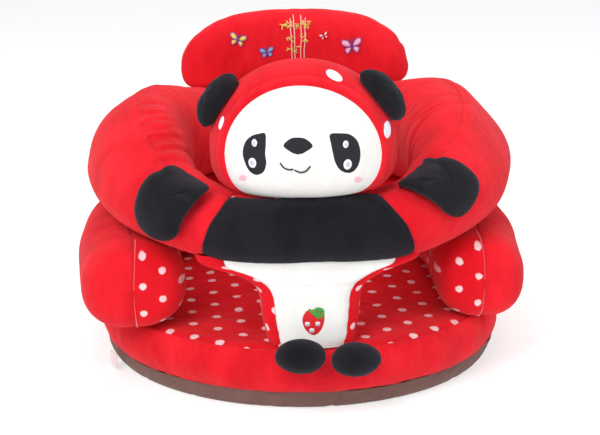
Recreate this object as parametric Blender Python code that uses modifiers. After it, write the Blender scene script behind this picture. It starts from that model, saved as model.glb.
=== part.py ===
"""A plush panda baby seat: a round cushion base, two stacked bolsters that wrap round the back and
sides, a headrest, and a stuffed panda whose chest and belly close the front as a T-shaped guard.

Units are metres, +Z is up, the panda faces -Y, and the origin is the centre of the underside.
Every stuffed part is a sewn cover with its own filling inside. Run it in Blender 4.5.
"""

import math

import bmesh
import bpy
from mathutils import Matrix, Vector

# ---------------------------------------------------------------- driving dimensions
FABRIC = 0.0016  # plush with its backing
GAP = 0.0005  # between pieces that touch
EMBROIDERY = 0.0012  # raised thread or felt

BASE_RADIUS = 0.205
BASE_BULGE = 0.009  # how far the red boxing puffs out
BASE_FLAT = 0.015  # the base is cut straight this far in at its back, for the zip
TRAY_HEIGHT = 0.018  # brown non-slip fabric, turned up round the bottom
BOXING_TOP = 0.060

BOLSTER_LOW, BOLSTER_HIGH = 0.0638, 0.1470
BOLSTER_HALF_WIDTH = 0.053

RING_LOW = 0.1480  # the upper bolster rests here on the lower one
BELLY_X = -0.0065  # the panda sits a little to its right

HEAD_CENTRE = Vector((-0.009, -0.128, 0.2480))
HEAD_HALF = Vector((0.0905, 0.0620, 0.0805))  # half width, half depth, half height above centre
HEAD_HALF_BELOW = 0.0465
HEAD_SQUARENESS_BELOW = 4.0  # the head is flattened underneath, where it rests on the chest
HEAD_YAW = math.radians(-9)  # the head looks slightly to its right
FACE_TILT = math.radians(6)  # the hood's opening looks slightly down
FACE_ANGLE = math.radians(58)  # half angle of the hood's opening

EAR_HALF = Vector((0.0290, 0.0115))  # along the seam, and thick
EAR_HEIGHT, EAR_STAND_OFF = 0.0190, 0.0024
PAW_LENGTH, PAW_WIDTH, PAW_THICK, PAW_STAND_OFF = 0.074, 0.044, 0.013, 0.0036
FOOT_HALF = Vector((0.0235, 0.0165, 0.0165))

HEADREST_CENTRE_X, HEADREST_Y, HEADREST_LOW = 0.011, 0.170, 0.2460
HEADREST_THICK = 0.050

ZIP_LENGTH, ZIP_Z = 0.130, 0.038
ZIP_WINDOW = 0.014  # height of the slot in the boxing

RED = (0.78, 0.012, 0.022)
DARK_RED = (0.70, 0.010, 0.020)
WHITE = (0.90, 0.88, 0.86)
BLACK = (0.012, 0.012, 0.014)
BROWN = (0.085, 0.052, 0.045)

PARTS, GUIDES = None, None
MATERIALS = {}


# ---------------------------------------------------------------- scene and materials
def start():
    global PARTS, GUIDES
    for old in list(bpy.data.objects):
        bpy.data.objects.remove(old)
    PARTS = bpy.data.collections.new("plush_panda_seat")
    GUIDES = bpy.data.collections.new("cutters")
    bpy.context.scene.collection.children.link(PARTS)
    bpy.context.scene.collection.children.link(GUIDES)


def material(name, colour, roughness=0.9, metallic=0.0):
    if name not in MATERIALS:
        made = bpy.data.materials.new(name)
        made.use_nodes = True
        shader = made.node_tree.nodes["Principled BSDF"]
        shader.inputs["Base Color"].default_value = (*colour, 1)
        shader.inputs["Roughness"].default_value = roughness
        shader.inputs["Metallic"].default_value = metallic
        MATERIALS[name] = made
    return MATERIALS[name]


def red_plush():
    return material("red_plush", RED)


def dotted_plush():
    return material("dotted_plush", DARK_RED)


def white_plush():
    return material("white_plush", WHITE)


def black_plush():
    return material("black_plush", BLACK)


def filling():
    return material("cotton_filling", (0.85, 0.85, 0.83), 1.0)


def thread(name, colour):
    return material(name, colour, 0.6)


def smooth(mesh):
    mesh.shade_smooth()
    mesh.set_sharp_from_angle(angle=math.radians(50))


def add(name, bm, surface, guide=False):
    """A new object from a bmesh. A guide is a cutter or a helper and isn't part of the seat."""
    mesh = bpy.data.meshes.new(name)
    bm.to_mesh(mesh)
    bm.free()
    smooth(mesh)
    obj = bpy.data.objects.new(name, mesh)
    if guide:
        GUIDES.objects.link(obj)
        obj.hide_render = True
        obj.display_type = "WIRE"
    else:
        PARTS.objects.link(obj)
        mesh.materials.append(surface)
    return obj


def solidify(obj, thickness=FABRIC, outward=False):
    shell = obj.modifiers.new("cloth_thickness", "SOLIDIFY")
    shell.thickness = thickness
    shell.offset = 1.0 if outward else -1.0
    shell.use_even_offset = True
    return obj


def cut(obj, cutter, operation="DIFFERENCE"):
    boolean = obj.modifiers.new("cut_" + cutter.name, "BOOLEAN")
    boolean.operation = operation
    boolean.object = cutter


# ---------------------------------------------------------------- lofted forms
def power(value, exponent):
    return math.copysign(abs(value) ** exponent, value)


def loft(name, rings, surface, first=0, last=None, loop=False, capped=False, guide=False):
    """A skin over rings that all have the same number of points.

    first and last pick a strip of each ring, so that a cover can be sewn from several panels, and the
    skin then stays open. loop joins the last ring to the first. capped closes both ends.
    """
    bm = bmesh.new()
    count = len(rings[0])
    whole = last is None
    steps = count if whole else last - first
    picked = [(first + step) % count for step in range(steps + (0 if whole else 1))]
    grid = [[bm.verts.new(ring[index]) for index in picked] for ring in rings]
    middles = [sum(ring, Vector()) / count for ring in rings]
    pairs = len(rings) if loop else len(rings) - 1
    outward = 0.0
    for low in range(pairs):
        high = (low + 1) % len(rings)
        for a in range(steps):
            b = (a + 1) % len(picked)
            face = bm.faces.new((grid[low][a], grid[low][b], grid[high][b], grid[high][a]))
            face.normal_update()
            outward += face.normal.dot(face.calc_center_median() - (middles[low] + middles[high]) / 2)
    if capped:
        bm.faces.new(list(reversed(grid[0])))
        bm.faces.new(grid[-1])
    if outward < 0:
        bmesh.ops.reverse_faces(bm, faces=bm.faces)
    bmesh.ops.remove_doubles(bm, verts=bm.verts, dist=1e-6)
    return add(name, bm, surface, guide)


def flat_ring(radius, z, count=36):
    """The base's outline at one height: a circle with its back cut straight."""
    ring = []
    for step in range(count):
        angle = 2 * math.pi * step / count
        ring.append(Vector((radius * math.sin(angle), min(-radius * math.cos(angle), radius - BASE_FLAT), z)))
    return ring


def between(stations, share, loop):
    """Catmull-Rom through a list of equal-length tuples, share running from 0 to 1."""
    count = len(stations)
    spans = count if loop else count - 1
    place = share * spans
    index = min(int(place), spans - 1)
    t = place - index

    def station(number):
        return stations[number % count] if loop else stations[max(0, min(count - 1, number))]

    p0, p1, p2, p3 = (station(index + shift) for shift in (-1, 0, 1, 2))
    return [
        0.5 * (2 * b + (c - a) * t + (2 * a - 5 * b + 4 * c - d) * t * t + (3 * b - a - 3 * c + d) * t**3)
        for a, b, c, d in zip(p0, p1, p2, p3)
    ]


AROUND = 12  # points round a bolster's section: 0 faces out, 3 up, 6 in and 9 down


def mirrored(right_half, loop):
    """Stations (x, y, ...) of the right side, mirrored to the left to make the whole path."""
    left = [(-s[0], *s[1:]) for s in right_half]
    if loop:
        return right_half + left[-2:0:-1]
    return right_half[::-1] + left[1:]


def tube_section(stations, share, loop, count, inset=0.0, squareness=2.5):
    """One ring of a bolster: stations are (x, y, half width, low z, high z).

    Points run from outside over the top to inside and back underneath.
    """
    step = 1e-3
    x, y, half_width, low, high = between(stations, share, loop)
    ahead = between(stations, (share + step) % 1 if loop else min(1, share + step), loop)
    behind = between(stations, (share - step) % 1 if loop else max(0, share - step), loop)
    along = Vector((ahead[0] - behind[0], ahead[1] - behind[1], 0)).normalized()
    outward = along.cross(Vector((0, 0, 1)))
    if outward.dot(Vector((x, y, 0))) < 0:
        outward.negate()
    middle = Vector((x, y, (low + high) / 2))
    half_width, half_height = max(half_width - inset, 1e-4), max((high - low) / 2 - inset, 1e-4)
    ring = []
    for index in range(count):
        angle = 2 * math.pi * index / count
        across = power(math.cos(angle), 2 / squareness) * half_width
        up = power(math.sin(angle), 2 / squareness) * half_height
        ring.append(middle + outward * across + Vector((0, 0, up)))
    return ring


# ---------------------------------------------------------------- base cushion
def make_base():
    radius = BASE_RADIUS
    tray = loft(
        "base_nonslip_bottom",
        [flat_ring(radius - 0.006, 0.0), flat_ring(radius, 0.006), flat_ring(radius + 0.001, TRAY_HEIGHT)],
        material("brown_nonslip", BROWN),
    )
    bm = bmesh.new()
    bm.from_mesh(tray.data)
    rim = [edge for edge in bm.edges if edge.is_boundary and edge.verts[0].co.z < 1e-6]
    bmesh.ops.contextual_create(bm, geom=rim)
    bmesh.ops.recalc_face_normals(bm, faces=bm.faces)
    bm.to_mesh(tray.data)
    bm.free()
    solidify(tray)

    levels = [(0.1, TRAY_HEIGHT + GAP), (1.0, 0.034), (0.8, 0.048), (-0.1, BOXING_TOP)]
    boxing = loft(
        "base_red_boxing",
        [flat_ring(radius + BASE_BULGE * puff, z) for puff, z in levels],
        red_plush(),
    )
    solidify(boxing)
    window = box(
        "zip_window",
        (ZIP_LENGTH + 0.010, 0.030, ZIP_WINDOW),
        (0, radius + BASE_BULGE - BASE_FLAT, ZIP_Z),
    )
    cut(boxing, window)

    seat = loft(
        "seat_dotted_panel",
        [
            flat_ring(radius - 0.002, BOXING_TOP + FABRIC + GAP),
            flat_ring(0.105, BOXING_TOP + FABRIC + 2 * GAP),
            flat_ring(0.070, BOXING_TOP + 0.0070),
        ],
        dotted_plush(),
    )
    bm = bmesh.new()
    bm.from_mesh(seat.data)
    crown = [edge for edge in bm.edges if edge.is_boundary and edge.verts[0].co.z > BOXING_TOP + 0.006]
    bmesh.ops.contextual_create(bm, geom=crown)
    bmesh.ops.recalc_face_normals(bm, faces=bm.faces)
    if max(bm.faces, key=lambda face: face.calc_area()).normal.z < 0:
        bmesh.ops.reverse_faces(bm, faces=bm.faces)
    bm.to_mesh(seat.data)
    bm.free()
    solidify(seat)

    clear = FABRIC + GAP
    loft(
        "base_foam",
        [
            flat_ring(radius - 0.010, clear),
            flat_ring(radius - clear - 0.0015, 0.008),
            flat_ring(radius - clear, BOXING_TOP - 0.004),
            flat_ring(radius - 0.010, BOXING_TOP - clear),
        ],
        material("seat_foam", (0.80, 0.78, 0.62), 1.0),
        capped=True,
    )


def box(name, size, centre, guide=True, surface=None):
    bm = bmesh.new()
    bmesh.ops.create_cube(bm, size=1.0, matrix=Matrix.Translation(centre) @ Matrix.Diagonal((*size, 1)))
    return add(name, bm, surface, guide)


def make_zip():
    """A closed coil zip in the boxing's flat back, with its slider and pull tab."""
    face_y = BASE_RADIUS + BASE_BULGE - BASE_FLAT  # the boxing's outer face there
    tape = material("zip_tape", (0.55, 0.01, 0.02), 0.8)
    coil = material("zip_coil", (0.62, 0.02, 0.03), 0.4)
    metal = material("zip_slider", (0.62, 0.62, 0.64), 0.3, 1.0)
    coil_half, tape_y = 0.0016, face_y - 0.0030
    tape_height = ZIP_WINDOW / 2 - coil_half - 2 * GAP
    for name, side in (("zip_tape_upper", 1), ("zip_tape_lower", -1)):
        z = ZIP_Z + side * (coil_half + GAP + tape_height / 2)
        box(name, (ZIP_LENGTH + 0.006, 0.0008, tape_height), (0, tape_y, z), False, tape)

    teeth = 26
    pitch = ZIP_LENGTH / teeth
    rings = []
    for tooth in range(teeth):
        for share, swell in ((0.1, 0.7), (0.5, 1.0)):
            x = -ZIP_LENGTH / 2 + (tooth + share) * pitch
            r = coil_half * swell
            rings.append([Vector((x, tape_y + dy * r, ZIP_Z + dz * r)) for dy, dz in COIL_SECTION])
    loft("zip_coil", rings, coil, capped=True)

    slider_x = -ZIP_LENGTH / 2 + 0.006
    front_y = tape_y + coil_half + 0.0020
    back_y = tape_y + 0.0009
    size = (0.0085, front_y - back_y, 0.0074)
    body = box("zip_slider", size, (slider_x, (front_y + back_y) / 2, ZIP_Z), False, metal)
    channel = box(
        "zip_channel",
        (0.02, 2 * coil_half + 2 * GAP, 2 * coil_half + 2 * GAP),
        (slider_x, tape_y, ZIP_Z),
    )
    cut(body, channel)
    bevel = body.modifiers.new("worn_edges", "BEVEL")
    bevel.width, bevel.segments = 0.0004, 1

    tab = tab_outline("zip_pull", 0.017, 0.0060, 0.0012, metal)
    tab.rotation_euler = (math.radians(90), 0, 0)
    tab.location = (slider_x + 0.0010, front_y + 0.0011, ZIP_Z)


COIL_SECTION = ((1, 0), (0.5, 0.87), (-0.5, 0.87), (-1, 0), (-0.5, -0.87), (0.5, -0.87))


def tab_outline(name, length, width, thickness, surface):
    """A flat tab along +X from its own origin, with a round end and a hole."""
    curve = bpy.data.curves.new(name, "CURVE")
    curve.dimensions = "2D"
    curve.fill_mode = "BOTH"
    curve.extrude = thickness / 2
    curve.resolution_u = 1
    outline = [(0, -width * 0.3), (0, width * 0.3)]
    for step in range(7):
        angle = math.radians(90 - 30 * step)
        outline.append(
            (length - width / 2 + width / 2 * math.cos(angle), width / 2 * math.sin(angle))
        )
    hole = [
        (length - width / 2 + width / 5 * math.cos(math.radians(60 * s)), width / 5 * math.sin(math.radians(60 * s)))
        for s in range(6)
    ]
    for points in (outline, hole):
        spline = curve.splines.new("POLY")
        spline.points.add(len(points) - 1)
        for point, (x, y) in zip(spline.points, points):
            point.co = (x, y, 0, 1)
        spline.use_cyclic_u = True
    obj = bpy.data.objects.new(name, curve)
    PARTS.objects.link(obj)
    curve.materials.append(surface)
    return obj


def make_label():
    """A blank satin care label sewn into the seam above the brown fabric."""
    angle = math.radians(-68)  # from the front, towards the panda's right
    radius = BASE_RADIUS + BASE_BULGE + 0.0016
    label = box("care_label", (0.016, 0.0008, 0.015), (0, 0, -0.0085), False, material("satin", (0.9, 0.86, 0.86), 0.4))
    label.location = (radius * math.sin(angle), -radius * math.cos(angle), TRAY_HEIGHT + 0.0008)
    label.rotation_euler = (0, 0, angle)


# ---------------------------------------------------------------- lower bolster
def bolster_half(spare):
    """One arm, from the middle of the back: x, y, half width, low z, high z.

    spare narrows the front of the arm on its outside.
    """
    w, low, high = BOLSTER_HALF_WIDTH, BOLSTER_LOW, BOLSTER_HIGH
    return [
        (0.000, 0.176, w * 0.96, low, high),
        (0.100, 0.158, w * 0.96, low, high),
        (0.166, 0.090, w, low, high),
        (0.181 - 0.3 * spare, 0.000, w - 0.3 * spare, low, high),
        (0.180 - 0.7 * spare, -0.060, w - 0.7 * spare, low, high),
        (0.177 - spare, -0.112, w - spare, low, high),
    ]


def bolster_stations():
    """The whole lower bolster: its left arm is the slimmer one."""
    return bolster_half(0.007)[::-1] + [(-s[0], *s[1:]) for s in bolster_half(0.0)][1:]


def bolster_rings(inset=0.0):
    stations = bolster_stations()
    rings = []
    spans, round_end = 20, 0.042
    for step in range(spans + 1):
        rings.append(tube_section(stations, step / spans, False, AROUND, inset))
    # The arms end in a blunt rounded face, which needs a few shrinking rings past each end.
    for ring, grow in ((rings[0], rings.insert), (rings[-1], None)):
        middle = sum(ring, Vector()) / len(ring)
        for turn in (30, 55, 75, 88):
            angle = math.radians(turn)
            reach = (round_end - inset) * math.sin(angle)
            shrink = math.cos(angle) ** 0.6
            made = [middle + (p - middle) * shrink + Vector((0, -reach, 0)) for p in ring]
            if grow:
                grow(0, made)
            else:
                rings.append(made)
    return rings


def make_bolster():
    rings = bolster_rings()
    # The seam runs along the top and down the middle of each arm's front.
    solidify(loft("bolster_outer_cover", rings, red_plush(), first=-3, last=3))
    solidify(loft("bolster_dotted_lining", seam_room(rings, 3, 9), dotted_plush(), first=3, last=9))
    loft("bolster_filling", bolster_rings(FABRIC + 2 * GAP), filling(), capped=True)


# ---------------------------------------------------------------- upper bolster and chest
RING_LIFT_LEFT = 0.010  # the ring rises sooner beside the panda's left paw


def ring_half(lift):
    """Half of the upper bolster from the chest to the back: x, y, half width, low z, high z."""
    low = RING_LOW
    return [
        (0.000, -0.158, 0.032, 0.1350, 0.2000),
        (0.080, -0.150, 0.033, 0.1365, 0.2030),
        (0.142, -0.100, 0.044, low, 0.2260 + lift),
        (0.167, -0.020, 0.054, low, 0.2600),
        (0.160, 0.070, 0.055, low, 0.2660),
        (0.095, 0.158, 0.052, low, 0.2450),
        (0.000, 0.185, 0.050, low, 0.2430),
    ]


def ring_stations():
    return ring_half(RING_LIFT_LEFT) + [(-s[0], *s[1:]) for s in ring_half(0.0)][-2:0:-1]


RING_SPANS = 32
BAND_SPANS = 4  # each side of the middle, black instead of red
BAND_RIGHT, BAND_LEFT = 0.080, 0.096  # the black band's ends, as shares of the way round the ring


def ring_rings(inset=0.0):
    stations = ring_stations()
    return [
        tube_section(stations, ring_share(step / RING_SPANS), True, AROUND, inset)
        for step in range(RING_SPANS)
    ]


def ring_share(place):
    """Spaces the ring's sections so that the black band ends on one of them at each side."""
    place = place if place <= 0.5 else place - 1
    end = BAND_RIGHT if place >= 0 else BAND_LEFT
    band = BAND_SPANS / RING_SPANS
    size = abs(place)
    if size <= band:
        share = size * end / band
    else:
        share = end + (size - band) * (0.5 - end) / (0.5 - band)
    return math.copysign(share, place) % 1


def make_ring():
    rings = ring_rings()
    turned = rings[-BAND_SPANS:] + rings[: BAND_SPANS + 1]
    arms = rings[BAND_SPANS : RING_SPANS - BAND_SPANS + 1]
    arms = trimmed(arms)
    solidify(loft("ring_outer_cover", arms, red_plush(), first=-3, last=3))
    solidify(loft("ring_inner_cover", seam_room(arms, 3, 9), red_plush(), first=3, last=9))
    solidify(loft("chest_band", turned, black_plush(), first=-3, last=3))
    solidify(loft("chest_back_panel", seam_room(turned, 3, 9), dotted_plush(), first=3, last=9))
    loft("ring_filling", ring_rings(FABRIC + 2 * GAP), filling(), loop=True)


def trimmed(rings, margin=0.03):
    """Rings whose two ends pull back a little, so that the next panel has room for its own edge."""
    first = [a.lerp(b, margin) for a, b in zip(rings[0], rings[1])]
    last = [a.lerp(b, margin) for a, b in zip(rings[-1], rings[-2])]
    return [first] + rings[1:-1] + [last]


# ---------------------------------------------------------------- belly
def belly_rings(inset=0.0, count=16):
    """The stem of the T, from the seat up to the chest: half width, half depth, centre y, z."""
    levels = [
        (0.0415, 0.024, -0.1790, BOXING_TOP + 0.0040),
        (0.0440, 0.029, -0.1770, 0.0720),
        (0.0475, 0.031, -0.1720, 0.0880),
        (0.0490, 0.031, -0.1680, 0.1030),
        (0.0540, 0.031, -0.1640, 0.1170),
        (0.0690, 0.030, -0.1610, 0.1265),
        (0.0960, 0.027, -0.1580, 0.1340),
    ]
    rings = []
    for number, (half_width, half_depth, y, z) in enumerate(levels):
        below = levels[max(0, number - 1)]
        above = levels[min(len(levels) - 1, number + 1)]
        slope = (above[0] - below[0]) / (above[3] - below[3])
        drop = inset * (number == len(levels) - 1) - inset * (number == 0)
        z -= drop
        half_width -= drop * slope
        flare = math.hypot(1, slope)
        ring = []
        for index in range(count):
            angle = 2 * math.pi * index / count
            across = -power(math.sin(angle), 0.8) * (half_width - inset * flare)
            deep = -power(math.cos(angle), 0.8) * (half_depth - inset * 1.1)
            ring.append(Vector((BELLY_X + across, y + deep, z)))
        rings.append(ring)
    return rings


def make_belly():
    rings = belly_rings()
    solidify(loft("belly_white_panel", rings, white_plush(), first=-2, last=2))
    for name, first, last in (("gusset_right", 2, 5), ("gusset_left", -5, -2)):
        solidify(loft(name, seam_room(rings, first, last), dotted_plush(), first=first, last=last))
    solidify(loft("belly_back_panel", seam_room(rings, 5, 11), dotted_plush(), first=5, last=11))
    loft("belly_filling", belly_rings(FABRIC + 2 * GAP), filling(), capped=True)


def seam_room(rings, first, last, margin=0.22):
    """Rings whose two edge points move in along the ring, leaving the seam's own gap."""
    made = []
    for ring in rings:
        ring = [point.copy() for point in ring]
        count = len(ring)
        ring[first % count] = ring[first % count].lerp(ring[(first + 1) % count], margin)
        ring[last % count] = ring[last % count].lerp(ring[(last - 1) % count], margin)
        made.append(ring)
    return made


# ---------------------------------------------------------------- feet
def soft_ball(name, half, surface, segments=14, rings=8):
    bm = bmesh.new()
    bmesh.ops.create_uvsphere(bm, u_segments=segments, v_segments=rings, radius=1.0)
    bmesh.ops.scale(bm, vec=half, verts=bm.verts)
    return add(name, bm, surface)


def make_feet():
    """Each foot hangs from the front seam of the seat, and its origin is on that seam."""
    for name, x, z, tilt in (("foot_right", -0.0215, 0.0662, 4), ("foot_left", 0.0305, 0.0610, -3)):
        foot = soft_ball(name, FOOT_HALF, black_plush())
        foot.data.transform(Matrix.Translation((0, -FOOT_HALF.y, -FOOT_HALF.z * 0.35)))
        foot.location = (x, -0.2155, z + FOOT_HALF.z * 0.35)
        foot.rotation_euler = (0, math.radians(tilt), 0)


# ---------------------------------------------------------------- head
def head_frame():
    return Matrix.Translation(HEAD_CENTRE) @ Matrix.Rotation(HEAD_YAW, 4, "Z")


def head_point(polar, around, inset=0.0):
    """A point of the head's skin. polar is the angle from the middle of the hood's opening."""
    pole = Vector((0, -math.cos(FACE_TILT), -math.sin(FACE_TILT)))
    side = Vector((1, 0, 0))
    up = side.cross(pole)
    way = pole * math.cos(polar) + (side * math.cos(around) + up * math.sin(around)) * math.sin(polar)
    half_height = HEAD_HALF.z if way.z > 0 else HEAD_HALF_BELOW
    squareness = 2.0 if way.z > 0 else HEAD_SQUARENESS_BELOW
    level, steep = math.hypot(way.x, way.y), abs(way.z)
    size = (level**squareness + steep**squareness) ** (-1 / squareness)
    local = Vector(
        (
            way.x * size * (HEAD_HALF.x - inset),
            way.y * size * (HEAD_HALF.y - inset),
            way.z * size * (half_height - inset),
        )
    )
    return head_frame() @ local


def head_rings(start, end, steps, around=22, inset=0.0):
    return [
        [
            head_point(start + (end - start) * step / steps, 2 * math.pi * turn / around, inset)
            for turn in range(around)
        ]
        for step in range(steps + 1)
    ]


def make_head():
    pole = math.radians(0.6)
    edge = math.radians(2.6)
    face = loft("face_white_panel", head_rings(pole, FACE_ANGLE - edge, 5), white_plush())
    close_pole(face)
    solidify(face)
    hood = loft("hood_red_cover", head_rings(FACE_ANGLE + edge, math.pi - pole, 7), red_plush())
    solidify(hood)

    curve = bpy.data.curves.new("hood_binding", "CURVE")
    curve.dimensions = "3D"
    curve.bevel_depth = 0.0022
    curve.bevel_resolution = 1
    curve.resolution_u = 1
    spline = curve.splines.new("POLY")
    spline.points.add(35)
    for index, point in enumerate(spline.points):
        point.co = (*head_point(FACE_ANGLE, 2 * math.pi * index / 36, 0.0), 1)
    spline.use_cyclic_u = True
    binding = bpy.data.objects.new("hood_binding", curve)
    PARTS.objects.link(binding)
    curve.materials.append(red_plush())

    loft(
        "head_filling",
        head_rings(math.radians(12), math.radians(168), 8, 18, FABRIC + 0.0028),
        filling(),
        capped=True,
    )


def close_pole(obj):
    """Closes the small opening at the loft's first ring."""
    bm = bmesh.new()
    bm.from_mesh(obj.data)
    edges = [edge for edge in bm.edges if edge.is_boundary]
    smallest = min(edge.calc_length() for edge in edges)
    bmesh.ops.contextual_create(bm, geom=[e for e in edges if e.calc_length() < smallest * 3])
    bmesh.ops.recalc_face_normals(bm, faces=bm.faces)
    bm.faces.ensure_lookup_table()
    centre = head_frame().translation
    if bm.faces[0].normal.dot(bm.faces[0].calc_center_median() - centre) < 0:
        bmesh.ops.reverse_faces(bm, faces=bm.faces)
    bm.to_mesh(obj.data)
    bm.free()


def ear_seat(lean):
    """The hood's surface under an ear: u runs down along the seam and v backwards, in metres."""
    reach = (HEAD_HALF.x + HEAD_HALF.z) / 2

    def at(u, v):
        angle, y = lean + u / reach, v - 0.012
        share = math.sqrt(1 - (y / HEAD_HALF.y) ** 2)
        across = Vector((HEAD_HALF.x * math.sin(angle), 0, HEAD_HALF.z * math.cos(angle))) * share
        return head_frame() @ (across + Vector((0, y, 0)))

    return at


def make_ears():
    """Each ear stands on the hood and tilts about the seam along its base, where its origin is."""
    outline = oval(2 * EAR_HALF.x, 2 * EAR_HALF.y, 14)
    levels = ((0.90, 0.45, 0.0), (1.0, 0.9, 0.25), (0.95, 1.0, 0.5), (0.72, 0.78, 0.82), (0.30, 0.35, 1.0))
    for name, lean in (("ear_right", -60), ("ear_left", 54)):
        seat = ear_seat(math.radians(lean))
        pad(name, outline, levels, seat, EAR_STAND_OFF, lambda u, v: EAR_HEIGHT, HEAD_CENTRE)


# ---------------------------------------------------------------- pads that follow another surface
def surface_normal(at, u, v, centre):
    step = 1e-3
    normal = (at(u + step, v) - at(u - step, v)).cross(at(u, v + step) - at(u, v - step))
    normal.normalize()
    return normal if normal.dot(at(u, v) - centre) > 0 else -normal


def pad(name, outline, levels, at, stand_off, height, centre):
    """A stuffed piece that lies on a surface, with its origin on the seam at (0, 0).

    levels are (spread along u, spread along v, share of the height) from the underside up.
    centre is a point inside the stuffing under the pad.
    """
    mid_u = sum(u for u, v in outline) / len(outline)
    mid_v = sum(v for u, v in outline) / len(outline)
    hinge = at(0, 0) + surface_normal(at, 0, 0, centre) * stand_off
    rings = []
    for spread_u, spread_v, share in levels:
        ring = []
        for u, v in outline:
            u, v = mid_u + (u - mid_u) * spread_u, mid_v + (v - mid_v) * spread_v
            lift = stand_off + share * height(u, v)
            ring.append(at(u, v) + surface_normal(at, u, v, centre) * lift - hinge)
        rings.append(ring)
    obj = loft(name, rings, black_plush(), capped=True)
    obj.location = hinge
    return obj


# ---------------------------------------------------------------- paws
def paw_seat(side, station, top_angle, slant):
    """The ring's surface under a paw: v runs from the seam to the paw's tip, u across it, in metres."""
    stations = mirrored(ring_half(RING_LIFT_LEFT if side > 0 else 0.0), True)
    length = len(stations) * 0.0797  # the path's length at its front corners, times the station count

    def at(u, v):
        along = u * math.cos(slant) + v * math.sin(slant)
        down = v * math.cos(slant) - u * math.sin(slant)
        share = (station / len(stations) + along / length) % 1
        angle = top_angle - down / 0.043
        x, y, half_width, low, high = between(stations, share, True)
        ahead, behind = between(stations, share + 1e-3, True), between(stations, share - 1e-3, True)
        way = Vector((ahead[0] - behind[0], ahead[1] - behind[1], 0)).normalized()
        outward = Vector((way.y, -way.x, 0))
        across = power(math.cos(angle), 0.8) * half_width
        up = power(math.sin(angle), 0.8) * (high - low) / 2
        point = Vector((x, y, (low + high) / 2 + up)) + outward * across
        return Vector((side * point.x, point.y, point.z))

    return at


def make_paws():
    """Flat stuffed mitts, sewn along their top edge into the ring's seam and hanging free below it."""
    half, steps = PAW_WIDTH / 2, 8
    outline = [(-half * 0.8, 0.001), (half * 0.8, 0.001), (half * 0.98, 0.016)]
    for step in range(steps + 1):
        angle = math.pi * step / steps
        outline.append((half * math.cos(angle), PAW_LENGTH - half + half * math.sin(angle)))
    outline.append((-half * 0.98, 0.016))
    levels = ((0.30, 0.34, 0.0), (0.62, 0.66, 0.0), (0.92, 0.94, 0.0), (1.0, 1.0, 0.35))
    levels += ((0.92, 0.94, 0.75), (0.66, 0.70, 0.97), (0.30, 0.34, 1.0))

    def height(u, v):
        return PAW_THICK * (0.45 + 0.55 * min(1, v / 0.035))

    for name, side, station, top, slant in (("paw_right", -1, 1.50, 80, 12), ("paw_left", 1, 1.26, 84, 20)):
        seat = paw_seat(side, station, math.radians(top), math.radians(slant))
        seam = seat(0, 0)
        inside = seam - 0.05 * Vector((seam.x, seam.y, 0)).normalized()
        pad(name, outline, levels, seat, PAW_STAND_OFF, height, inside)


# ---------------------------------------------------------------- headrest
def headrest_outline():
    """The half moon, seen from the front, from its lower right corner round to the lower left."""
    right = [(0.000, 0.0), (0.060, 0.0), (0.108, 0.001), (0.130, 0.014), (0.132, 0.032)]
    right += [(0.116, 0.056), (0.084, 0.074), (0.045, 0.082), (0.000, 0.084)]
    return right + [(-x, z) for x, z in right[-2:0:-1]]


def shrunk(outline, inset):
    """The outline moved inwards by the same distance all round."""
    made = []
    for index, point in enumerate(outline):
        before, after = Vector(outline[index - 1]), Vector(outline[(index + 1) % len(outline)])
        along = (after - before).normalized()
        made.append(Vector(point) + Vector((-along.y, along.x)) * inset)
    return made


def headrest_rings(front, inset=0.0):
    """Rings from the seam to the middle of the front or the back half."""
    side = -1 if front else 1
    middle = Vector((0, 0.040))
    rings = []
    for turn in (0, 14, 42, 74):
        angle = math.radians(turn)
        ring = []
        for corner in shrunk(headrest_outline(), inset * 1.15):
            point = (corner - middle) * math.cos(angle) ** 0.7
            bulge = (HEADREST_THICK / 2 - inset * 1.15) * math.sin(angle)
            ring.append(
                Vector(
                    (
                        HEADREST_CENTRE_X + middle.x + point.x,
                        HEADREST_Y + side * (bulge + 0.0008 * (inset == 0)),
                        HEADREST_LOW + middle.y + point.y,
                    )
                )
            )
        rings.append(ring)
    return rings


def make_headrest():
    for name, front in (("headrest_front_cover", True), ("headrest_back_cover", False)):
        half = loft(name, headrest_rings(front), red_plush())
        bm = bmesh.new()
        bm.from_mesh(half.data)
        side = -1 if front else 1
        rim = [
            edge
            for edge in bm.edges
            if edge.is_boundary and all(abs(v.co.y - HEADREST_Y) > HEADREST_THICK / 4 for v in edge.verts)
        ]
        bmesh.ops.contextual_create(bm, geom=rim)
        bmesh.ops.recalc_face_normals(bm, faces=bm.faces)
        if max(bm.faces, key=lambda face: face.calc_area()).normal.y * side < 0:
            bmesh.ops.reverse_faces(bm, faces=bm.faces)
        bm.to_mesh(half.data)
        bm.free()
        solidify(half)
    inset = FABRIC + 2 * GAP
    whole = headrest_rings(True, inset)[::-1] + headrest_rings(False, inset)[1:]
    loft("headrest_filling", whole, filling(), capped=True)


# ---------------------------------------------------------------- embroidery and felt
def raised_skin(host, name):
    """A copy of a cover's outer surface, lifted off it and as thick as embroidery: a guide."""
    mesh = host.data.copy()
    bm = bmesh.new()
    bm.from_mesh(mesh)
    bm.normal_update()
    lift = {vertex: vertex.normal * GAP for vertex in bm.verts}
    for vertex, move in lift.items():
        vertex.co += move
    bm.to_mesh(mesh)
    bm.free()
    obj = bpy.data.objects.new(name, mesh)
    GUIDES.objects.link(obj)
    solidify(obj, EMBROIDERY, outward=True)
    obj.hide_render = True
    obj.display_type = "WIRE"
    return obj


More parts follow.
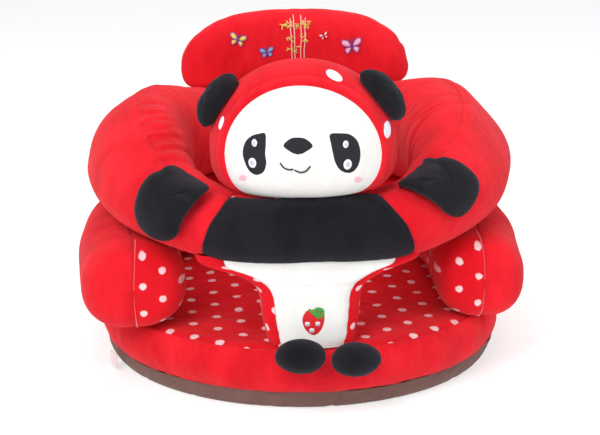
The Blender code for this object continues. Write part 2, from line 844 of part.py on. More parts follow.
def prism(name, outline, centre, depth, surface, turn=0.0, yaw=0.0):
    """An outline of (x, z) points round a centre, pushed along Y."""
    bm = bmesh.new()
    points = [Vector((x, -depth / 2, z)) for x, z in outline]
    face = bm.faces.new([bm.verts.new(point) for point in points])
    made = bmesh.ops.extrude_face_region(bm, geom=[face])["geom"]
    moved = [item for item in made if isinstance(item, bmesh.types.BMVert)]
    bmesh.ops.translate(bm, verts=moved, vec=(0, depth, 0))
    bmesh.ops.recalc_face_normals(bm, faces=bm.faces)
    place = Matrix.Translation(centre) @ Matrix.Rotation(yaw, 4, "Z") @ Matrix.Rotation(turn, 4, "Y")
    bmesh.ops.transform(bm, matrix=place, verts=bm.verts)
    return add(name, bm, surface)


def motif(name, outline, centre, skin, surface, turn=0.0, yaw=0.0):
    """A stitched or felt shape that follows the cover it is sewn to."""
    piece = prism(name, outline, centre, 0.050, surface, turn, yaw)
    cut(piece, skin, "INTERSECT")
    return piece


def oval(width, height, count=12, cx=0.0, cz=0.0):
    return [
        (
            cx + width / 2 * math.cos(2 * math.pi * index / count),
            cz + height / 2 * math.sin(2 * math.pi * index / count),
        )
        for index in range(count)
    ]


def on_face(x, z):
    """A point on the front of the head, x and z measured from the head's centre across the face."""
    depth = math.sqrt(max(0.0, 1 - (x / HEAD_HALF.x) ** 2 - (z / HEAD_HALF.z) ** 2))
    return head_frame() @ Vector((x, -HEAD_HALF.y * depth, z))


def make_face_features():
    skin = raised_skin(bpy.data.objects["face_white_panel"], "face_skin")
    felt = thread("black_felt", BLACK)
    shine = thread("white_thread", (0.88, 0.88, 0.90))
    blush = thread("pink_thread", (0.86, 0.42, 0.47))
    patch = [(0.0115, 0.0225), (0.0130, -0.0080), (0.0080, -0.0200), (-0.0010, -0.0235), (-0.0100, -0.0170)]
    patch += [(-0.0145, -0.0020), (-0.0110, 0.0110), (0.0000, 0.0200)]
    for side, name in ((1, "right"), (-1, "left")):
        centre = on_face(side * -0.0435, 0.0005)
        holes = []
        for part, x, z, width, height in (
            ("eye_shine_small", 0.001, 0.009, 0.0060, 0.0080),
            ("eye_shine_large", -0.001, -0.0085, 0.0085, 0.0110),
        ):
            spot = oval(width, height, 10, side * x, z)
            motif(f"{part}_{name}", spot, centre, skin, shine, yaw=HEAD_YAW)
            wider = oval(width + 4 * GAP, height + 4 * GAP, 10, side * x, z)
            hole = prism(f"hole_{part}_{name}", wider, centre, 0.060, felt, yaw=HEAD_YAW)
            PARTS.objects.unlink(hole)
            GUIDES.objects.link(hole)
            hole.hide_render = True
            hole.display_type = "WIRE"
            holes.append(hole)
        outline = [(side * x, z) for x, z in patch]
        eye = motif(f"eye_patch_{name}", outline, centre, skin, felt, yaw=HEAD_YAW)
        for hole in holes:
            cut(eye, hole)
        cheek = on_face(side * -0.0540, -0.0250)
        motif(f"cheek_{name}", oval(0.010, 0.0075, 10), cheek, skin, blush, yaw=HEAD_YAW)
    nose = [(-0.0145, 0.0), (-0.006, 0.008), (0.0, 0.0095), (0.007, 0.008), (0.0145, 0.0)]
    nose += [(0.006, -0.0065), (0.0, -0.0085), (-0.006, -0.0065)]
    motif("nose", nose, on_face(0, 0.0095), skin, felt, yaw=HEAD_YAW)
    mouth = mouth_outline()
    motif("mouth_stitching", mouth, on_face(0, -0.0140), skin, felt, yaw=HEAD_YAW)


def mouth_outline():
    """Two shallow arcs that meet below the nose, drawn 1.4 mm wide."""
    width, radius, drop = 0.0014, 0.0068, 0.0040
    upper, lower = [], []
    for step in range(7):
        angle = math.pi * (1 - step / 6)
        x = -radius + radius * math.cos(angle)
        z = -drop * math.sin(angle)
        upper.append((x, z + width / 2))
        lower.append((x, z - width / 2))
    right_upper = [(-x, z) for x, z in reversed(upper[:-1])]
    right_lower = [(-x, z) for x, z in reversed(lower[:-1])]
    return upper + right_upper + (lower + right_lower)[::-1]


def make_strawberry():
    skin = raised_skin(bpy.data.objects["belly_white_panel"], "belly_skin")
    centre = Vector((BELLY_X, -0.199, 0.0885))
    berry = [(0.0, -0.0150), (0.0080, -0.0095), (0.0120, -0.0005), (0.0085, 0.0005), (0.0045, 0.0025)]
    berry += [(-0.0015, 0.0060), (-0.0040, 0.0138), (-0.0100, 0.0110), (-0.0125, 0.0030), (-0.0085, -0.0090)]
    motif("strawberry_fruit", berry, centre, skin, thread("berry_thread", (0.70, 0.02, 0.02)))
    leaf = [(0.0125, 0.0012), (0.0128, 0.0080), (0.0090, 0.0130), (0.0030, 0.0150), (-0.0030, 0.0142)]
    leaf += [(-0.0006, 0.0070), (0.0052, 0.0038), (0.0090, 0.0020)]
    motif("strawberry_leaves", leaf, centre, skin, thread("green_thread", (0.06, 0.42, 0.10)))


def make_headrest_motifs():
    skin = raised_skin(bpy.data.objects["headrest_front_cover"], "headrest_skin")
    y = HEADREST_Y - HEADREST_THICK / 2
    canes = [(-0.0130, -0.026), (0.0130, -0.026), (0.0115, -0.004), (0.0150, 0.002), (0.0125, 0.010)]
    canes += [(0.0170, 0.016), (0.0095, 0.024), (0.0035, 0.017), (-0.0020, 0.024), (-0.0110, 0.021)]
    canes += [(-0.0170, 0.012), (-0.0105, 0.008), (-0.0100, 0.000), (-0.0130, -0.006)]
    motif("bamboo_embroidery", canes, Vector((0.014, y, 0.3000)), skin, thread("bamboo_thread", (0.72, 0.62, 0.25)))
    wings = [(0.0, -0.003), (0.005, -0.0065), (0.008, -0.003), (0.0065, 0.001), (0.010, 0.0065)]
    wings += [(0.004, 0.005), (0.0, 0.001)]
    outline = wings + [(-x, z) for x, z in wings[-2:0:-1]]
    for name, x, z, size, turn, colour in (
        ("butterfly_yellow", -0.056, 0.2965, 1.0, -12, (0.85, 0.70, 0.15)),
        ("butterfly_blue", -0.023, 0.2815, 0.75, 8, (0.15, 0.45, 0.80)),
        ("butterfly_white", 0.041, 0.3005, 0.55, 20, (0.85, 0.82, 0.88)),
        ("butterfly_pink", 0.073, 0.2880, 1.25, 4, (0.85, 0.40, 0.62)),
    ):
        scaled = [(a * size, b * size) for a, b in outline]
        motif(name, scaled, Vector((x, y, z)), skin, thread(name + "_thread", colour), math.radians(turn))


# ---------------------------------------------------------------- build
def main():
    start()
    make_base()
    make_zip()
    make_label()
    make_bolster()
    make_ring()
    make_belly()
    make_feet()
    make_head()
    make_ears()
    make_paws()
    make_headrest()
    make_face_features()
    make_strawberry()
    make_headrest_motifs()


main()
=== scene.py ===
"""Looks of the plush panda baby seat: inflated plush covers, embroidery, zip and a plain studio.

Lengths are metres. Every cover is a grid of points over a form, settled as cloth where it is stuffed,
then cut into its sewn panels. Each panel stands for the CAD node of the same place.
"""

import math

import bmesh
import bpy
import numpy as np
from mathutils import Matrix, Vector
from mathutils.bvhtree import BVHTree


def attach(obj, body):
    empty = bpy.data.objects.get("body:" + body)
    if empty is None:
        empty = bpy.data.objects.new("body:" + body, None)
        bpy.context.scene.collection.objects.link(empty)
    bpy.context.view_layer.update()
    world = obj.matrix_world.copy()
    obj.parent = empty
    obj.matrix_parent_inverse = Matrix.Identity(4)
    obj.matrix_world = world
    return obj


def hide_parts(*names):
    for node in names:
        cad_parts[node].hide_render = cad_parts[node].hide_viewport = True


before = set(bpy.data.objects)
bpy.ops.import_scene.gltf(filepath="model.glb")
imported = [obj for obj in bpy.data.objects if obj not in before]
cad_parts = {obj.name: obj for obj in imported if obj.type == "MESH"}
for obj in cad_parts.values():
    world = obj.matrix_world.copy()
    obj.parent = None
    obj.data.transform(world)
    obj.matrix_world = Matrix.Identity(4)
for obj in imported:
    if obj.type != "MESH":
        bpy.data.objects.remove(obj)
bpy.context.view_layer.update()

# ---- sizes shared by several pieces
BASE_RADIUS, BASE_FLAT, BASE_BULGE = 0.205, 0.015, 0.009
TRAY_HEIGHT, BOXING_TOP = 0.0178, 0.0605
HEAD_CENTRE = np.array((-0.009, -0.128, 0.2480))
HEAD_HALF = np.array((0.0905, 0.0620, 0.0805))
HEAD_BELOW = 0.0485
HEAD_SQUARENESS_BELOW = 3.6
HEAD_YAW, FACE_TILT = math.radians(-9), math.radians(6)
FACE_ANGLE = math.radians(58)
HEADREST_X, HEADREST_Y, HEADREST_LOW, HEADREST_THICK = 0.011, 0.170, 0.2460, 0.050
BELLY_X = -0.0065
ZIP_HALF_LENGTH, ZIP_LOW, ZIP_HIGH, ZIP_BED_Y = 0.069, 0.0305, 0.0455, 0.1946
PILE = 0.0012  # thickness of a cover's edge
RING_LIFT_LEFT = 0.012  # the ring rises sooner beside the panda's left paw
BAND = 0.125  # share of the ring's rows, each side, that the black band takes

TAU = 2 * math.pi


# ---- noise
def lattice_noise(x, y, seed):
    """Smooth noise from -1 to 1 over two coordinates, one lattice step apart."""
    table = np.random.RandomState(seed).rand(64, 64) * 2 - 1
    x, y = np.broadcast_arrays(np.asarray(x, float), np.asarray(y, float))
    x0, y0 = np.floor(x).astype(int), np.floor(y).astype(int)
    fx, fy = x - x0, y - y0
    fx, fy = (t * t * t * (t * (6 * t - 15) + 10) for t in (fx, fy))
    corner = [table[(x0 + a) % 64, (y0 + b) % 64] for a in (0, 1) for b in (0, 1)]
    low = corner[0] * (1 - fy) + corner[1] * fy
    high = corner[2] * (1 - fy) + corner[3] * fy
    return low * (1 - fx) + high * fx


def creases(x, y, seed, sharp=0.22):
    """0 between folds and 1 along the narrow valleys of a stretched noise."""
    n = lattice_noise(x, y, seed) + 0.45 * lattice_noise(2.1 * x + 9.7, 2.3 * y + 3.1, seed + 1)
    return np.exp(-((n / sharp) ** 2))


# ---- grids and meshes
def normals_of(grid, wrap_u, middle, whole=True):
    """Normals of a grid whose columns close, away from middle: as a whole, or each point by itself."""
    if wrap_u:
        along = np.roll(grid, -1, 0) - np.roll(grid, 1, 0)
    else:
        along = np.gradient(grid, axis=0)
    normal = np.cross(along, np.roll(grid, -1, 1) - np.roll(grid, 1, 1))
    normal /= np.maximum(np.linalg.norm(normal, axis=2, keepdims=True), 1e-12)
    away = ((grid - middle) * normal).sum(2, keepdims=True)
    if whole:
        away = np.full_like(away, away.sum())
    return np.where(away < 0, -normal, normal)


def grid_faces(rows, columns, wrap_u, wrap_v):
    index = np.arange(rows * columns).reshape(rows, columns)
    if wrap_u:
        index = np.vstack([index, index[:1]])
    if wrap_v:
        index = np.hstack([index, index[:, :1]])
    corners = (index[:-1, :-1], index[1:, :-1], index[1:, 1:], index[:-1, 1:])
    return np.stack(corners, axis=-1).reshape(-1, 4).tolist()


def bare_mesh(name, points, faces, middle=None):
    """A mesh object in the scene, its faces turned away from middle."""
    mesh = bpy.data.meshes.new(name)
    mesh.from_pydata([tuple(p) for p in points], [], [tuple(f) for f in faces])
    mesh.update()
    if middle is not None:
        facing = sum(f.area * f.normal.dot(f.center - Vector(middle)) for f in mesh.polygons)
        if facing < 0:
            mesh.flip_normals()
    obj = bpy.data.objects.new(name, mesh)
    bpy.context.scene.collection.objects.link(obj)
    return obj


def make_mesh(name, points, faces, look, middle=None, layout=None):
    """A smooth piece with its look. layout gives each point its flat coordinates in metres."""
    obj = bare_mesh(name, points, faces, middle)
    if layout is not None:
        layer = obj.data.attributes.new("layout", "FLOAT_VECTOR", "POINT")
        layer.data.foreach_set("vector", np.asarray(layout, np.float32).reshape(-1))
    obj.data.shade_smooth()
    obj.data.materials.append(LOOKS[look])
    return obj


def panel(
    name, grid, look, middle, body, *nodes, fill=None, layout=None, wrap_v=False, level=1, thick=PILE
):
    """One sewn panel as its own piece, with a real edge. layout is its flat coordinates in metres."""
    rows, columns = grid.shape[:2]
    if layout is not None:
        layout = np.dstack([layout, np.zeros((rows, columns))])
    faces = grid_faces(rows, columns, False, wrap_v)
    obj = make_mesh(name, grid.reshape(-1, 3), faces, look, middle, layout)
    weld(obj)
    if level:
        finer = obj.modifiers.new("finer", "SUBSURF")
        finer.levels = finer.render_levels = level
    if thick:
        edge = obj.modifiers.new("cloth_edge", "SOLIDIFY")
        edge.thickness, edge.offset = thick, -1
    return finish_piece(obj, body, look, *nodes, fill=fill)


def weld(obj):
    """Makes one vertex of points that share a place, as at a pole."""
    bm = bmesh.new()
    bm.from_mesh(obj.data)
    bmesh.ops.remove_doubles(bm, verts=bm.verts, dist=1e-6)
    bm.to_mesh(obj.data)
    bm.free()


def groove(grid, normal, axis, index, depth, reach=1.3):
    """Pulls a row or column of the grid in along its normals, as a seam does."""
    count = grid.shape[axis]
    away = np.abs(np.arange(count) - index)
    away = np.minimum(away, count - away)
    pull = depth * np.exp(-((away / reach) ** 2))
    pull = pull[:, None, None] if axis == 0 else pull[None, :, None]
    return grid - normal * pull


# ---- cloth
def settle(grid, wrap_u, held, loose, pressure, grow, frames, cap):
    """Settles a stuffed cover: held pins it, loose is where there is spare cloth to fold."""
    points = grid.reshape(-1, 3)
    obj = bare_mesh("settling", points, grid_faces(*grid.shape[:2], wrap_u, True), points.mean(0))
    for name, weights in (("held", held), ("loose", loose)):
        group = obj.vertex_groups.new(name=name)
        steps = np.round(np.clip(weights.reshape(-1), 0, 1) * 20).astype(int)
        for step in np.unique(steps):
            if step:
                group.add(np.nonzero(steps == step)[0].tolist(), step / 20, "REPLACE")
    cloth = obj.modifiers.new("cloth", "CLOTH")
    settings = cloth.settings
    settings.quality = 5
    settings.mass = 0.25
    settings.tension_stiffness = settings.compression_stiffness = 18
    settings.shear_stiffness = 8
    settings.bending_stiffness = 0.6
    settings.air_damping = 2
    settings.use_pressure = True
    settings.uniform_pressure_force = pressure
    settings.vertex_group_mass = "held"
    settings.vertex_group_shrink = "loose"
    settings.shrink_min, settings.shrink_max = 0.0, -grow
    settings.effector_weights.gravity = 0
    cloth.collision_settings.use_collision = False
    cloth.point_cache.frame_start, cloth.point_cache.frame_end = 1, frames
    scene = bpy.context.scene
    for number in range(1, frames + 1):
        scene.frame_set(number)
    settled = np.zeros(grid.size, np.float32)
    evaluated = obj.evaluated_get(bpy.context.evaluated_depsgraph_get())
    evaluated.data.vertices.foreach_get("co", settled)
    mesh = obj.data
    bpy.data.objects.remove(obj)
    bpy.data.meshes.remove(mesh)
    scene.frame_set(1)
    move = settled.reshape(grid.shape).astype(float) - grid
    length = np.linalg.norm(move, axis=2, keepdims=True)
    return grid + move * np.minimum(1, cap / np.maximum(length, 1e-9))


# ---- forms
def between(stations, share, loop):
    """Catmull-Rom through rows of numbers, at an array of shares from 0 to 1."""
    stations = np.array(stations, float)
    count = len(stations)
    spans = count if loop else count - 1
    place = np.asarray(share, float) * spans
    index = np.floor(place).astype(int)
    if not loop:
        index = np.clip(index, 0, spans - 1)
    t = (place - index)[..., None]
    wrap = (lambda k: k % count) if loop else (lambda k: np.clip(k, 0, count - 1))
    a, b, c, d = (stations[wrap(index + shift)] for shift in (-1, 0, 1, 2))
    return 0.5 * (2 * b + (c - a) * t + (2 * a - 5 * b + 4 * c - d) * t**2 + (3 * b - a - 3 * c + d) * t**3)


def power(value, exponent):
    return np.sign(value) * np.abs(value) ** exponent


def tube(stations, share, angle, loop, squareness=2.4, inset=0.0):
    """Points of a bolster: angle 0 faces out, a quarter turn faces up."""
    share, angle = np.broadcast_arrays(share, angle)
    here = between(stations, share, loop)
    ahead, behind = share + 1e-3, share - 1e-3
    if loop:
        ahead, behind = ahead % 1, behind % 1
    else:
        ahead, behind = np.minimum(ahead, 1), np.maximum(behind, 0)
    way = between(stations, ahead, loop)[..., :2] - between(stations, behind, loop)[..., :2]
    way /= np.linalg.norm(way, axis=-1, keepdims=True)
    outward = np.stack([way[..., 1], -way[..., 0]], axis=-1)
    outward = outward * np.sign((outward * here[..., :2]).sum(-1, keepdims=True))
    across = power(np.cos(angle), 2 / squareness) * (here[..., 2] - inset)
    up = power(np.sin(angle), 2 / squareness) * ((here[..., 4] - here[..., 3]) / 2 - inset)
    middle_z = (here[..., 3] + here[..., 4]) / 2
    return np.dstack([here[..., :2] + outward * across[..., None], middle_z + up])


def around_length(grid, axis):
    """Distance along a grid axis at its middle line, in metres."""
    line = grid[:, grid.shape[1] // 2] if axis == 0 else grid[grid.shape[0] // 2]
    steps = np.linalg.norm(np.diff(line, axis=0), axis=1)
    return np.concatenate([[0], np.cumsum(steps)])


def layout_of(grid):
    u, v = around_length(grid, 0), around_length(grid, 1)
    return np.dstack(np.meshgrid(u, v, indexing="ij"))


def head_matrix():
    return Matrix.Translation(Vector(HEAD_CENTRE)) @ Matrix.Rotation(HEAD_YAW, 4, "Z")


def to_world(points, matrix):
    m = np.array(matrix)
    return points @ m[:3, :3].T + m[:3, 3]


# ---- materials
class Shader:
    """A node material, built one value at a time."""

    def __init__(self, name, roughness):
        self.material = bpy.data.materials.new(name)
        self.material.use_nodes = True
        self.tree = self.material.node_tree
        self.main = self.tree.nodes["Principled BSDF"]
        self.put(self.main, {"Roughness": roughness})
        self.place = self.add("TexCoord").outputs["Object"]

    def put(self, node, values):
        """Links or sets a node's inputs, each given by its name or number."""
        for key, value in values.items():
            target = node.inputs[key]
            if isinstance(value, bpy.types.NodeSocket):
                self.tree.links.new(value, target)
            elif target.type == "RGBA":
                target.default_value = (*value, 1)
            else:
                target.default_value = value

    def add(self, kind, values=None, **settings):
        node = self.tree.nodes.new("ShaderNode" + kind)
        for key, value in settings.items():
            setattr(node, key, value)
        self.put(node, values or {})
        return node

    def math(self, operation, a, b=0.0, clamp=False):
        return self.add("Math", {0: a, 1: b}, operation=operation, use_clamp=clamp).outputs[0]

    def plus(self, a, b, clamp=False):
        return self.math("ADD", a, b, clamp)

    def times(self, a, b):
        return self.math("MULTIPLY", a, b)

    def noise(self, scale, detail, stretch=None, vector=None):
        vector = vector or self.place
        if stretch:
            vector = self.add("Mapping", {"Vector": vector, "Scale": stretch}).outputs[0]
        return self.add("TexNoise", {"Vector": vector, "Scale": scale, "Detail": detail}).outputs["Fac"]

    def ramp(self, value, low, high):
        return self.add("MapRange", {0: value, 1: low, 2: high}, clamp=True).outputs[0]

    def mix(self, share, a, b):
        return self.add("Mix", {0: share, 6: a, 7: b}, data_type="RGBA").outputs[2]

    def layout(self, output="Vector"):
        """The flat coordinates that a panel's points carry."""
        return self.add("Attribute", attribute_name="layout").outputs[output]

    def colour(self, value):
        self.put(self.main, {"Base Color": value})

    def bump(self, *heights):
        """Each height is (socket, strength, distance in metres)."""
        normal = None
        for height, strength, distance in heights:
            values = {"Height": height, "Strength": strength, "Distance": distance}
            if normal:
                values["Normal"] = normal
            normal = self.add("Bump", values).outputs[0]
        self.put(self.main, {"Normal": normal})

    def sheen(self, weight, roughness, tint):
        values = {"Sheen Weight": weight, "Sheen Roughness": roughness, "Sheen Tint": tint}
        self.put(self.main, {**values, "Specular IOR Level": 0.15})


def plush(name, deep, bright, sheen, tint, pile=1.0, dots=None, folds=False):
    """Short pile: the nap lies in patches, so the colour shifts softly, and the tips catch light."""
    s = Shader(name, 0.92)
    nap = s.noise(24, 3, stretch=(1.0, 1.0, 0.55))
    brushed = s.noise(130, 3, stretch=(1.0, 1.0, 0.35))
    tips = s.noise(1500, 2)
    share = s.plus(s.times(s.ramp(nap, 0.35, 0.68), 0.55), s.times(brushed, 0.45))
    share = s.plus(share, s.times(s.math("SUBTRACT", tips, 0.5), 0.5), clamp=True)
    base = s.mix(share, deep, bright)
    if dots:
        base = s.mix(dots(s), base, (0.86, 0.62, 0.64))
    s.colour(base)
    heights = [(nap, 0.48, 0.006), (brushed, 0.50, 0.0018), (tips, 0.60 * pile, 0.0009)]
    if folds:
        heights.insert(0, (gathers(s), 0.8, 0.0045))
    s.bump(*heights)
    s.sheen(sheen, 0.45, tint)
    return s.material


def gathers(s):
    """Fine folds that run across a panel, away from its long seams."""
    layout = s.layout()
    drift = s.add("TexNoise", {"Scale": 9, "Detail": 1, "Vector": layout})
    scaled = s.add("VectorMath", {0: drift.outputs["Color"], "Scale": 0.05}, operation="SCALE")
    bend = s.add("VectorMath", {0: layout, 1: scaled.outputs[0]}, operation="ADD")
    fold = s.noise(62, 1.5, stretch=(1.0, 0.16, 1.0), vector=bend.outputs[0])
    where = s.ramp(s.noise(11, 1), 0.40, 0.62)
    return s.times(s.ramp(fold, 0.32, 0.60), where)


def staggered_dots(s):
    """Small dots in staggered columns over a panel's own layout."""
    across, along, radius = 0.0190, 0.0280, 0.0034
    split = s.add("SeparateXYZ", {0: s.layout()})
    wobble = s.times(s.math("SUBTRACT", s.noise(380, 1), 0.5), 0.0016)
    nearest = None
    for offset in (0.0, 0.5):
        parts = []
        for axis, pitch in ((0, 2 * across), (1, along)):
            cell = s.math("FRACT", s.plus(s.math("DIVIDE", split.outputs[axis], pitch), offset))
            parts.append(s.times(s.math("SUBTRACT", cell, 0.5), pitch))
        distance = s.math("SQRT", s.plus(*(s.times(part, part) for part in parts)))
        nearest = distance if nearest is None else s.math("MINIMUM", nearest, distance)
    edge = s.ramp(s.plus(nearest, wobble), radius - 0.0004, radius + 0.0005)
    return s.math("SUBTRACT", 1.0, edge)


def nonslip(name, deep, bright):
    s = Shader(name, 0.95)
    fibres = s.noise(900, 4)
    blotch = s.noise(40, 3)
    s.colour(s.mix(s.times(s.plus(fibres, blotch), 0.5), deep, bright))
    s.bump((blotch, 0.3, 0.004), (fibres, 0.6, 0.0008))
    s.sheen(0.2, 0.5, (0.8, 0.7, 0.65))
    return s.material


def satin_stitch(name, dark, light, turn=0.0):
    """Thread laid side by side."""
    s = Shader(name, 0.5)
    turned = {"Vector": s.place, "Rotation": (0, turn, 0), "Scale": (1.0, 0.05, 0.05)}
    lines = s.noise(1500, 1, vector=s.add("Mapping", turned).outputs[0])
    s.colour(s.mix(lines, dark, light))
    s.bump((lines, 0.5, 0.0004))
    s.sheen(0.3, 0.3, light)
    return s.material


def felt(name, dark, light):
    s = Shader(name, 0.85)
    fibres = s.noise(1300, 4)
    s.colour(s.mix(fibres, dark, light))
    s.bump((fibres, 0.35, 0.0004))
    s.sheen(0.35, 0.4, (0.6, 0.6, 0.7))
    return s.material


def hard(name, dark, light, roughness, metallic, scale):
    s = Shader(name, roughness)
    grain = s.noise(scale, 3, stretch=(1, 1, 6))
    s.colour(s.mix(grain, dark, light))
    s.put(s.main, {"Metallic": metallic})
    s.bump((grain, 0.15, 0.0002))
    return s.material


RED = (0.60, 0.003, 0.011), (0.92, 0.018, 0.032), 0.34, (1.0, 0.28, 0.30)
DOTTED = (0.60, 0.003, 0.010), (0.82, 0.010, 0.022), 0.22, (1.0, 0.40, 0.40)
LOOK_TABLE = (
    (plush, "red_plush", *RED),
    (plush, "red_plush_gathered", *RED, 1.0, None, True),
    (plush, "dotted_plush", *DOTTED, 0.5, staggered_dots),
    (plush, "white_plush", (0.82, 0.80, 0.775), (0.93, 0.92, 0.90), 0.25, (1.0, 1.0, 1.0)),
    (plush, "black_plush", (0.0030, 0.0030, 0.0042), (0.016, 0.015, 0.019), 0.26, (0.40, 0.40, 0.48), 1.6),
    (nonslip, "brown_nonslip", (0.10, 0.048, 0.040), (0.24, 0.135, 0.118)),
    (felt, "black_felt", (0.010, 0.010, 0.013), (0.035, 0.035, 0.042)),
    (felt, "satin_label", (0.80, 0.66, 0.67), (0.92, 0.84, 0.85)),
    (felt, "zip_tape_weave", (0.42, 0.004, 0.010), (0.62, 0.012, 0.022)),
    (hard, "zip_coil_nylon", (0.45, 0.008, 0.015), (0.65, 0.03, 0.04), 0.4, 0.0, 300),
    (hard, "zip_metal", (0.45, 0.45, 0.47), (0.72, 0.72, 0.74), 0.32, 1.0, 500),
    (satin_stitch, "white_thread", (0.74, 0.74, 0.80), (0.95, 0.95, 0.97)),
    (satin_stitch, "lavender_thread", (0.46, 0.45, 0.58), (0.66, 0.65, 0.76), 0.6),
    (satin_stitch, "berry_thread", (0.50, 0.008, 0.012), (0.78, 0.03, 0.035), 0.5),
    (satin_stitch, "leaf_thread", (0.02, 0.22, 0.03), (0.10, 0.46, 0.10), -0.6),
    (satin_stitch, "cane_thread", (0.75, 0.55, 0.52), (0.92, 0.78, 0.72), 1.57),
    (satin_stitch, "bamboo_leaf_thread", (0.62, 0.48, 0.06), (0.90, 0.80, 0.28), 0.8),
    (satin_stitch, "gold_thread", (0.75, 0.45, 0.03), (0.95, 0.78, 0.22), 0.3),
    (satin_stitch, "sky_thread", (0.10, 0.34, 0.75), (0.45, 0.72, 0.95), 0.3),
    (satin_stitch, "rose_thread", (0.80, 0.30, 0.50), (0.96, 0.66, 0.78), 0.3),
    (satin_stitch, "plum_thread", (0.14, 0.03, 0.20), (0.32, 0.10, 0.42), 0.3),
    (satin_stitch, "pale_thread", (0.78, 0.74, 0.85), (0.97, 0.95, 0.98), 0.3),
)
LOOKS = {name: make(name, *values) for make, name, *values in LOOK_TABLE}


def finish_piece(obj, body, look, *nodes, fill=None, slot=None):
    """Says which body a piece rides on and the CAD nodes it stands for; its colour slot is not used."""
    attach(obj, body)
    if nodes:
        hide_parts(*nodes)
    return obj


# ---- base cushion
def base_outline(angle, radius):
    """A circle cut straight at the back, angle 0 at the front."""
    x, y = radius * np.sin(angle), -radius * np.cos(angle)
    limit = radius - BASE_FLAT
    soft = 0.006
    y = np.where(y > limit - soft, limit - soft + soft * np.tanh((y - limit + soft) / soft), y)
    return x, y


def fade_in(depth, soft=0.0015):
    """0 outside an edge and 1 well inside it."""
    return 1 / (1 + np.exp(-depth / soft * 3))


def build_base():
    """The red side band with its bed for the zip, the brown bottom cloth and the dotted seat."""
    around = 320
    angle = (TAU * np.arange(around) / around)[None, :]
    arc = angle * BASE_RADIUS
    inside = (0, 0, 0.04)

    share = np.linspace(0, 1, 24)[:, None]
    puff = np.sin(math.pi * np.clip(share, 0, 1)) ** 0.6
    radius = BASE_RADIUS + 0.0005 - 0.001 * share + BASE_BULGE * puff
    radius = radius + 0.0012 * lattice_noise(arc / 0.045, share * 2, 3) * puff
    radius = radius + 0.0022 * lattice_noise(arc / 0.024 + 1.4 * share, share * 0.9, 5) * puff
    low_folds = creases(arc / 0.016 + 1.2 * share, share * 0.35, 8, 0.24) * np.exp(-share / 0.45)
    high_folds = creases(arc / 0.020 - share, share * 0.35 + 4, 9, 0.24) * np.exp((share - 1) / 0.35)
    x, y = base_outline(angle, radius - 0.0016 * low_folds - 0.0016 * high_folds)
    z = TRAY_HEIGHT + (BOXING_TOP - TRAY_HEIGHT) * share + 0 * angle
    window = fade_in(ZIP_HALF_LENGTH - np.abs(x)) * fade_in(z - ZIP_LOW) * fade_in(ZIP_HIGH - z)
    y = y - window * np.maximum(y - ZIP_BED_Y, 0)
    boxing = np.dstack([x, y, z])
    panel("base_boxing_cover", boxing, "red_plush", inside, "seat", "base_red_boxing", fill=0.9, wrap_v=True)

    share = np.linspace(0, 1, 9)[:, None]
    radius = BASE_RADIUS - 0.006 + 0.0070 * np.sin(share * math.pi / 2) ** 0.7
    radius = radius + 0.0022 * lattice_noise(arc / 0.05 + share, share * 1.5, 13) * share
    fold_line = np.exp(-(((arc - 0.012 - 0.010 * share) / 0.0022) ** 2))
    radius = radius - 0.0026 * fold_line - 0.0012 * creases(arc / 0.022, share * 0.7, 17, 0.12)
    side = np.dstack([*base_outline(angle, radius), TRAY_HEIGHT * share**1.4 + 0 * angle])
    floor = [np.dstack([*base_outline(angle, BASE_RADIUS * k), 0 * angle]) for k in (0.0, 0.5, 0.9)]
    tray = np.vstack([*floor, side])
    nodes = ("base_nonslip_bottom",)
    panel("base_bottom_cloth", tray, "brown_nonslip", inside, "seat", *nodes, wrap_v=True, level=0, thick=0)

    rings = np.linspace(0, 1, 46)[:, None]
    x, y = base_outline(angle[:, ::2], (BASE_RADIUS - 0.001) * rings)
    far = np.hypot(x, y)
    z = BOXING_TOP + 0.0016 + 0.0042 * (1 / (1 + np.exp((far - 0.10) / 0.018)))
    z = z + 0.0008 * lattice_noise(x / 0.03, y / 0.03, 21) * (1 - rings**8)
    z = z - 0.0016 * creases(x / 0.045, y / 0.02, 23, 0.18) * np.clip((0.19 - far) / 0.03, 0, 1)
    z = np.where(rings >= 1, BOXING_TOP - 0.0010, z)
    z = z - 0.0012 * np.exp(-((far - BASE_RADIUS) / 0.006) ** 2)
    shape = {"fill": 0.9, "layout": np.dstack([x, y]) * 0.8, "wrap_v": True, "thick": 0}
    nodes = ("seat_dotted_panel", "base_foam")
    panel("seat_top_cover", np.dstack([x, y, z]), "dotted_plush", (0, 0, 0), "seat", *nodes, **shape)


# ---- lower bolster
def bolster_half(spare):
    """One arm, from the middle of the back to its front. spare narrows the front of the arm outside."""
    half, low, high = 0.0525, 0.0600, 0.1485
    spine = [
        (0.000, 0.176, half * 0.96),
        (0.100, 0.158, half * 0.96),
        (0.166, 0.090, half),
        (0.181 - 0.3 * spare, 0.000, half - 0.3 * spare),
        (0.180 - 0.7 * spare, -0.060, half - 0.7 * spare),
        (0.177 - spare, -0.112, half - spare),
    ]
    return [(*station, low, high) for station in spine]


def mirror(stations):
    return [(-x, *rest) for x, *rest in stations]


def seams(grid):
    """Columns of a bolster's top and bottom seams."""
    quarter = grid.shape[1] // 4
    return quarter, 3 * quarter


def halves(grid):
    """The outside and the inside of a bolster, which meet at its seams."""
    top, bottom = seams(grid)
    return np.concatenate([grid[:, bottom:], grid[:, : top + 1]], axis=1), grid[:, top : bottom + 1]


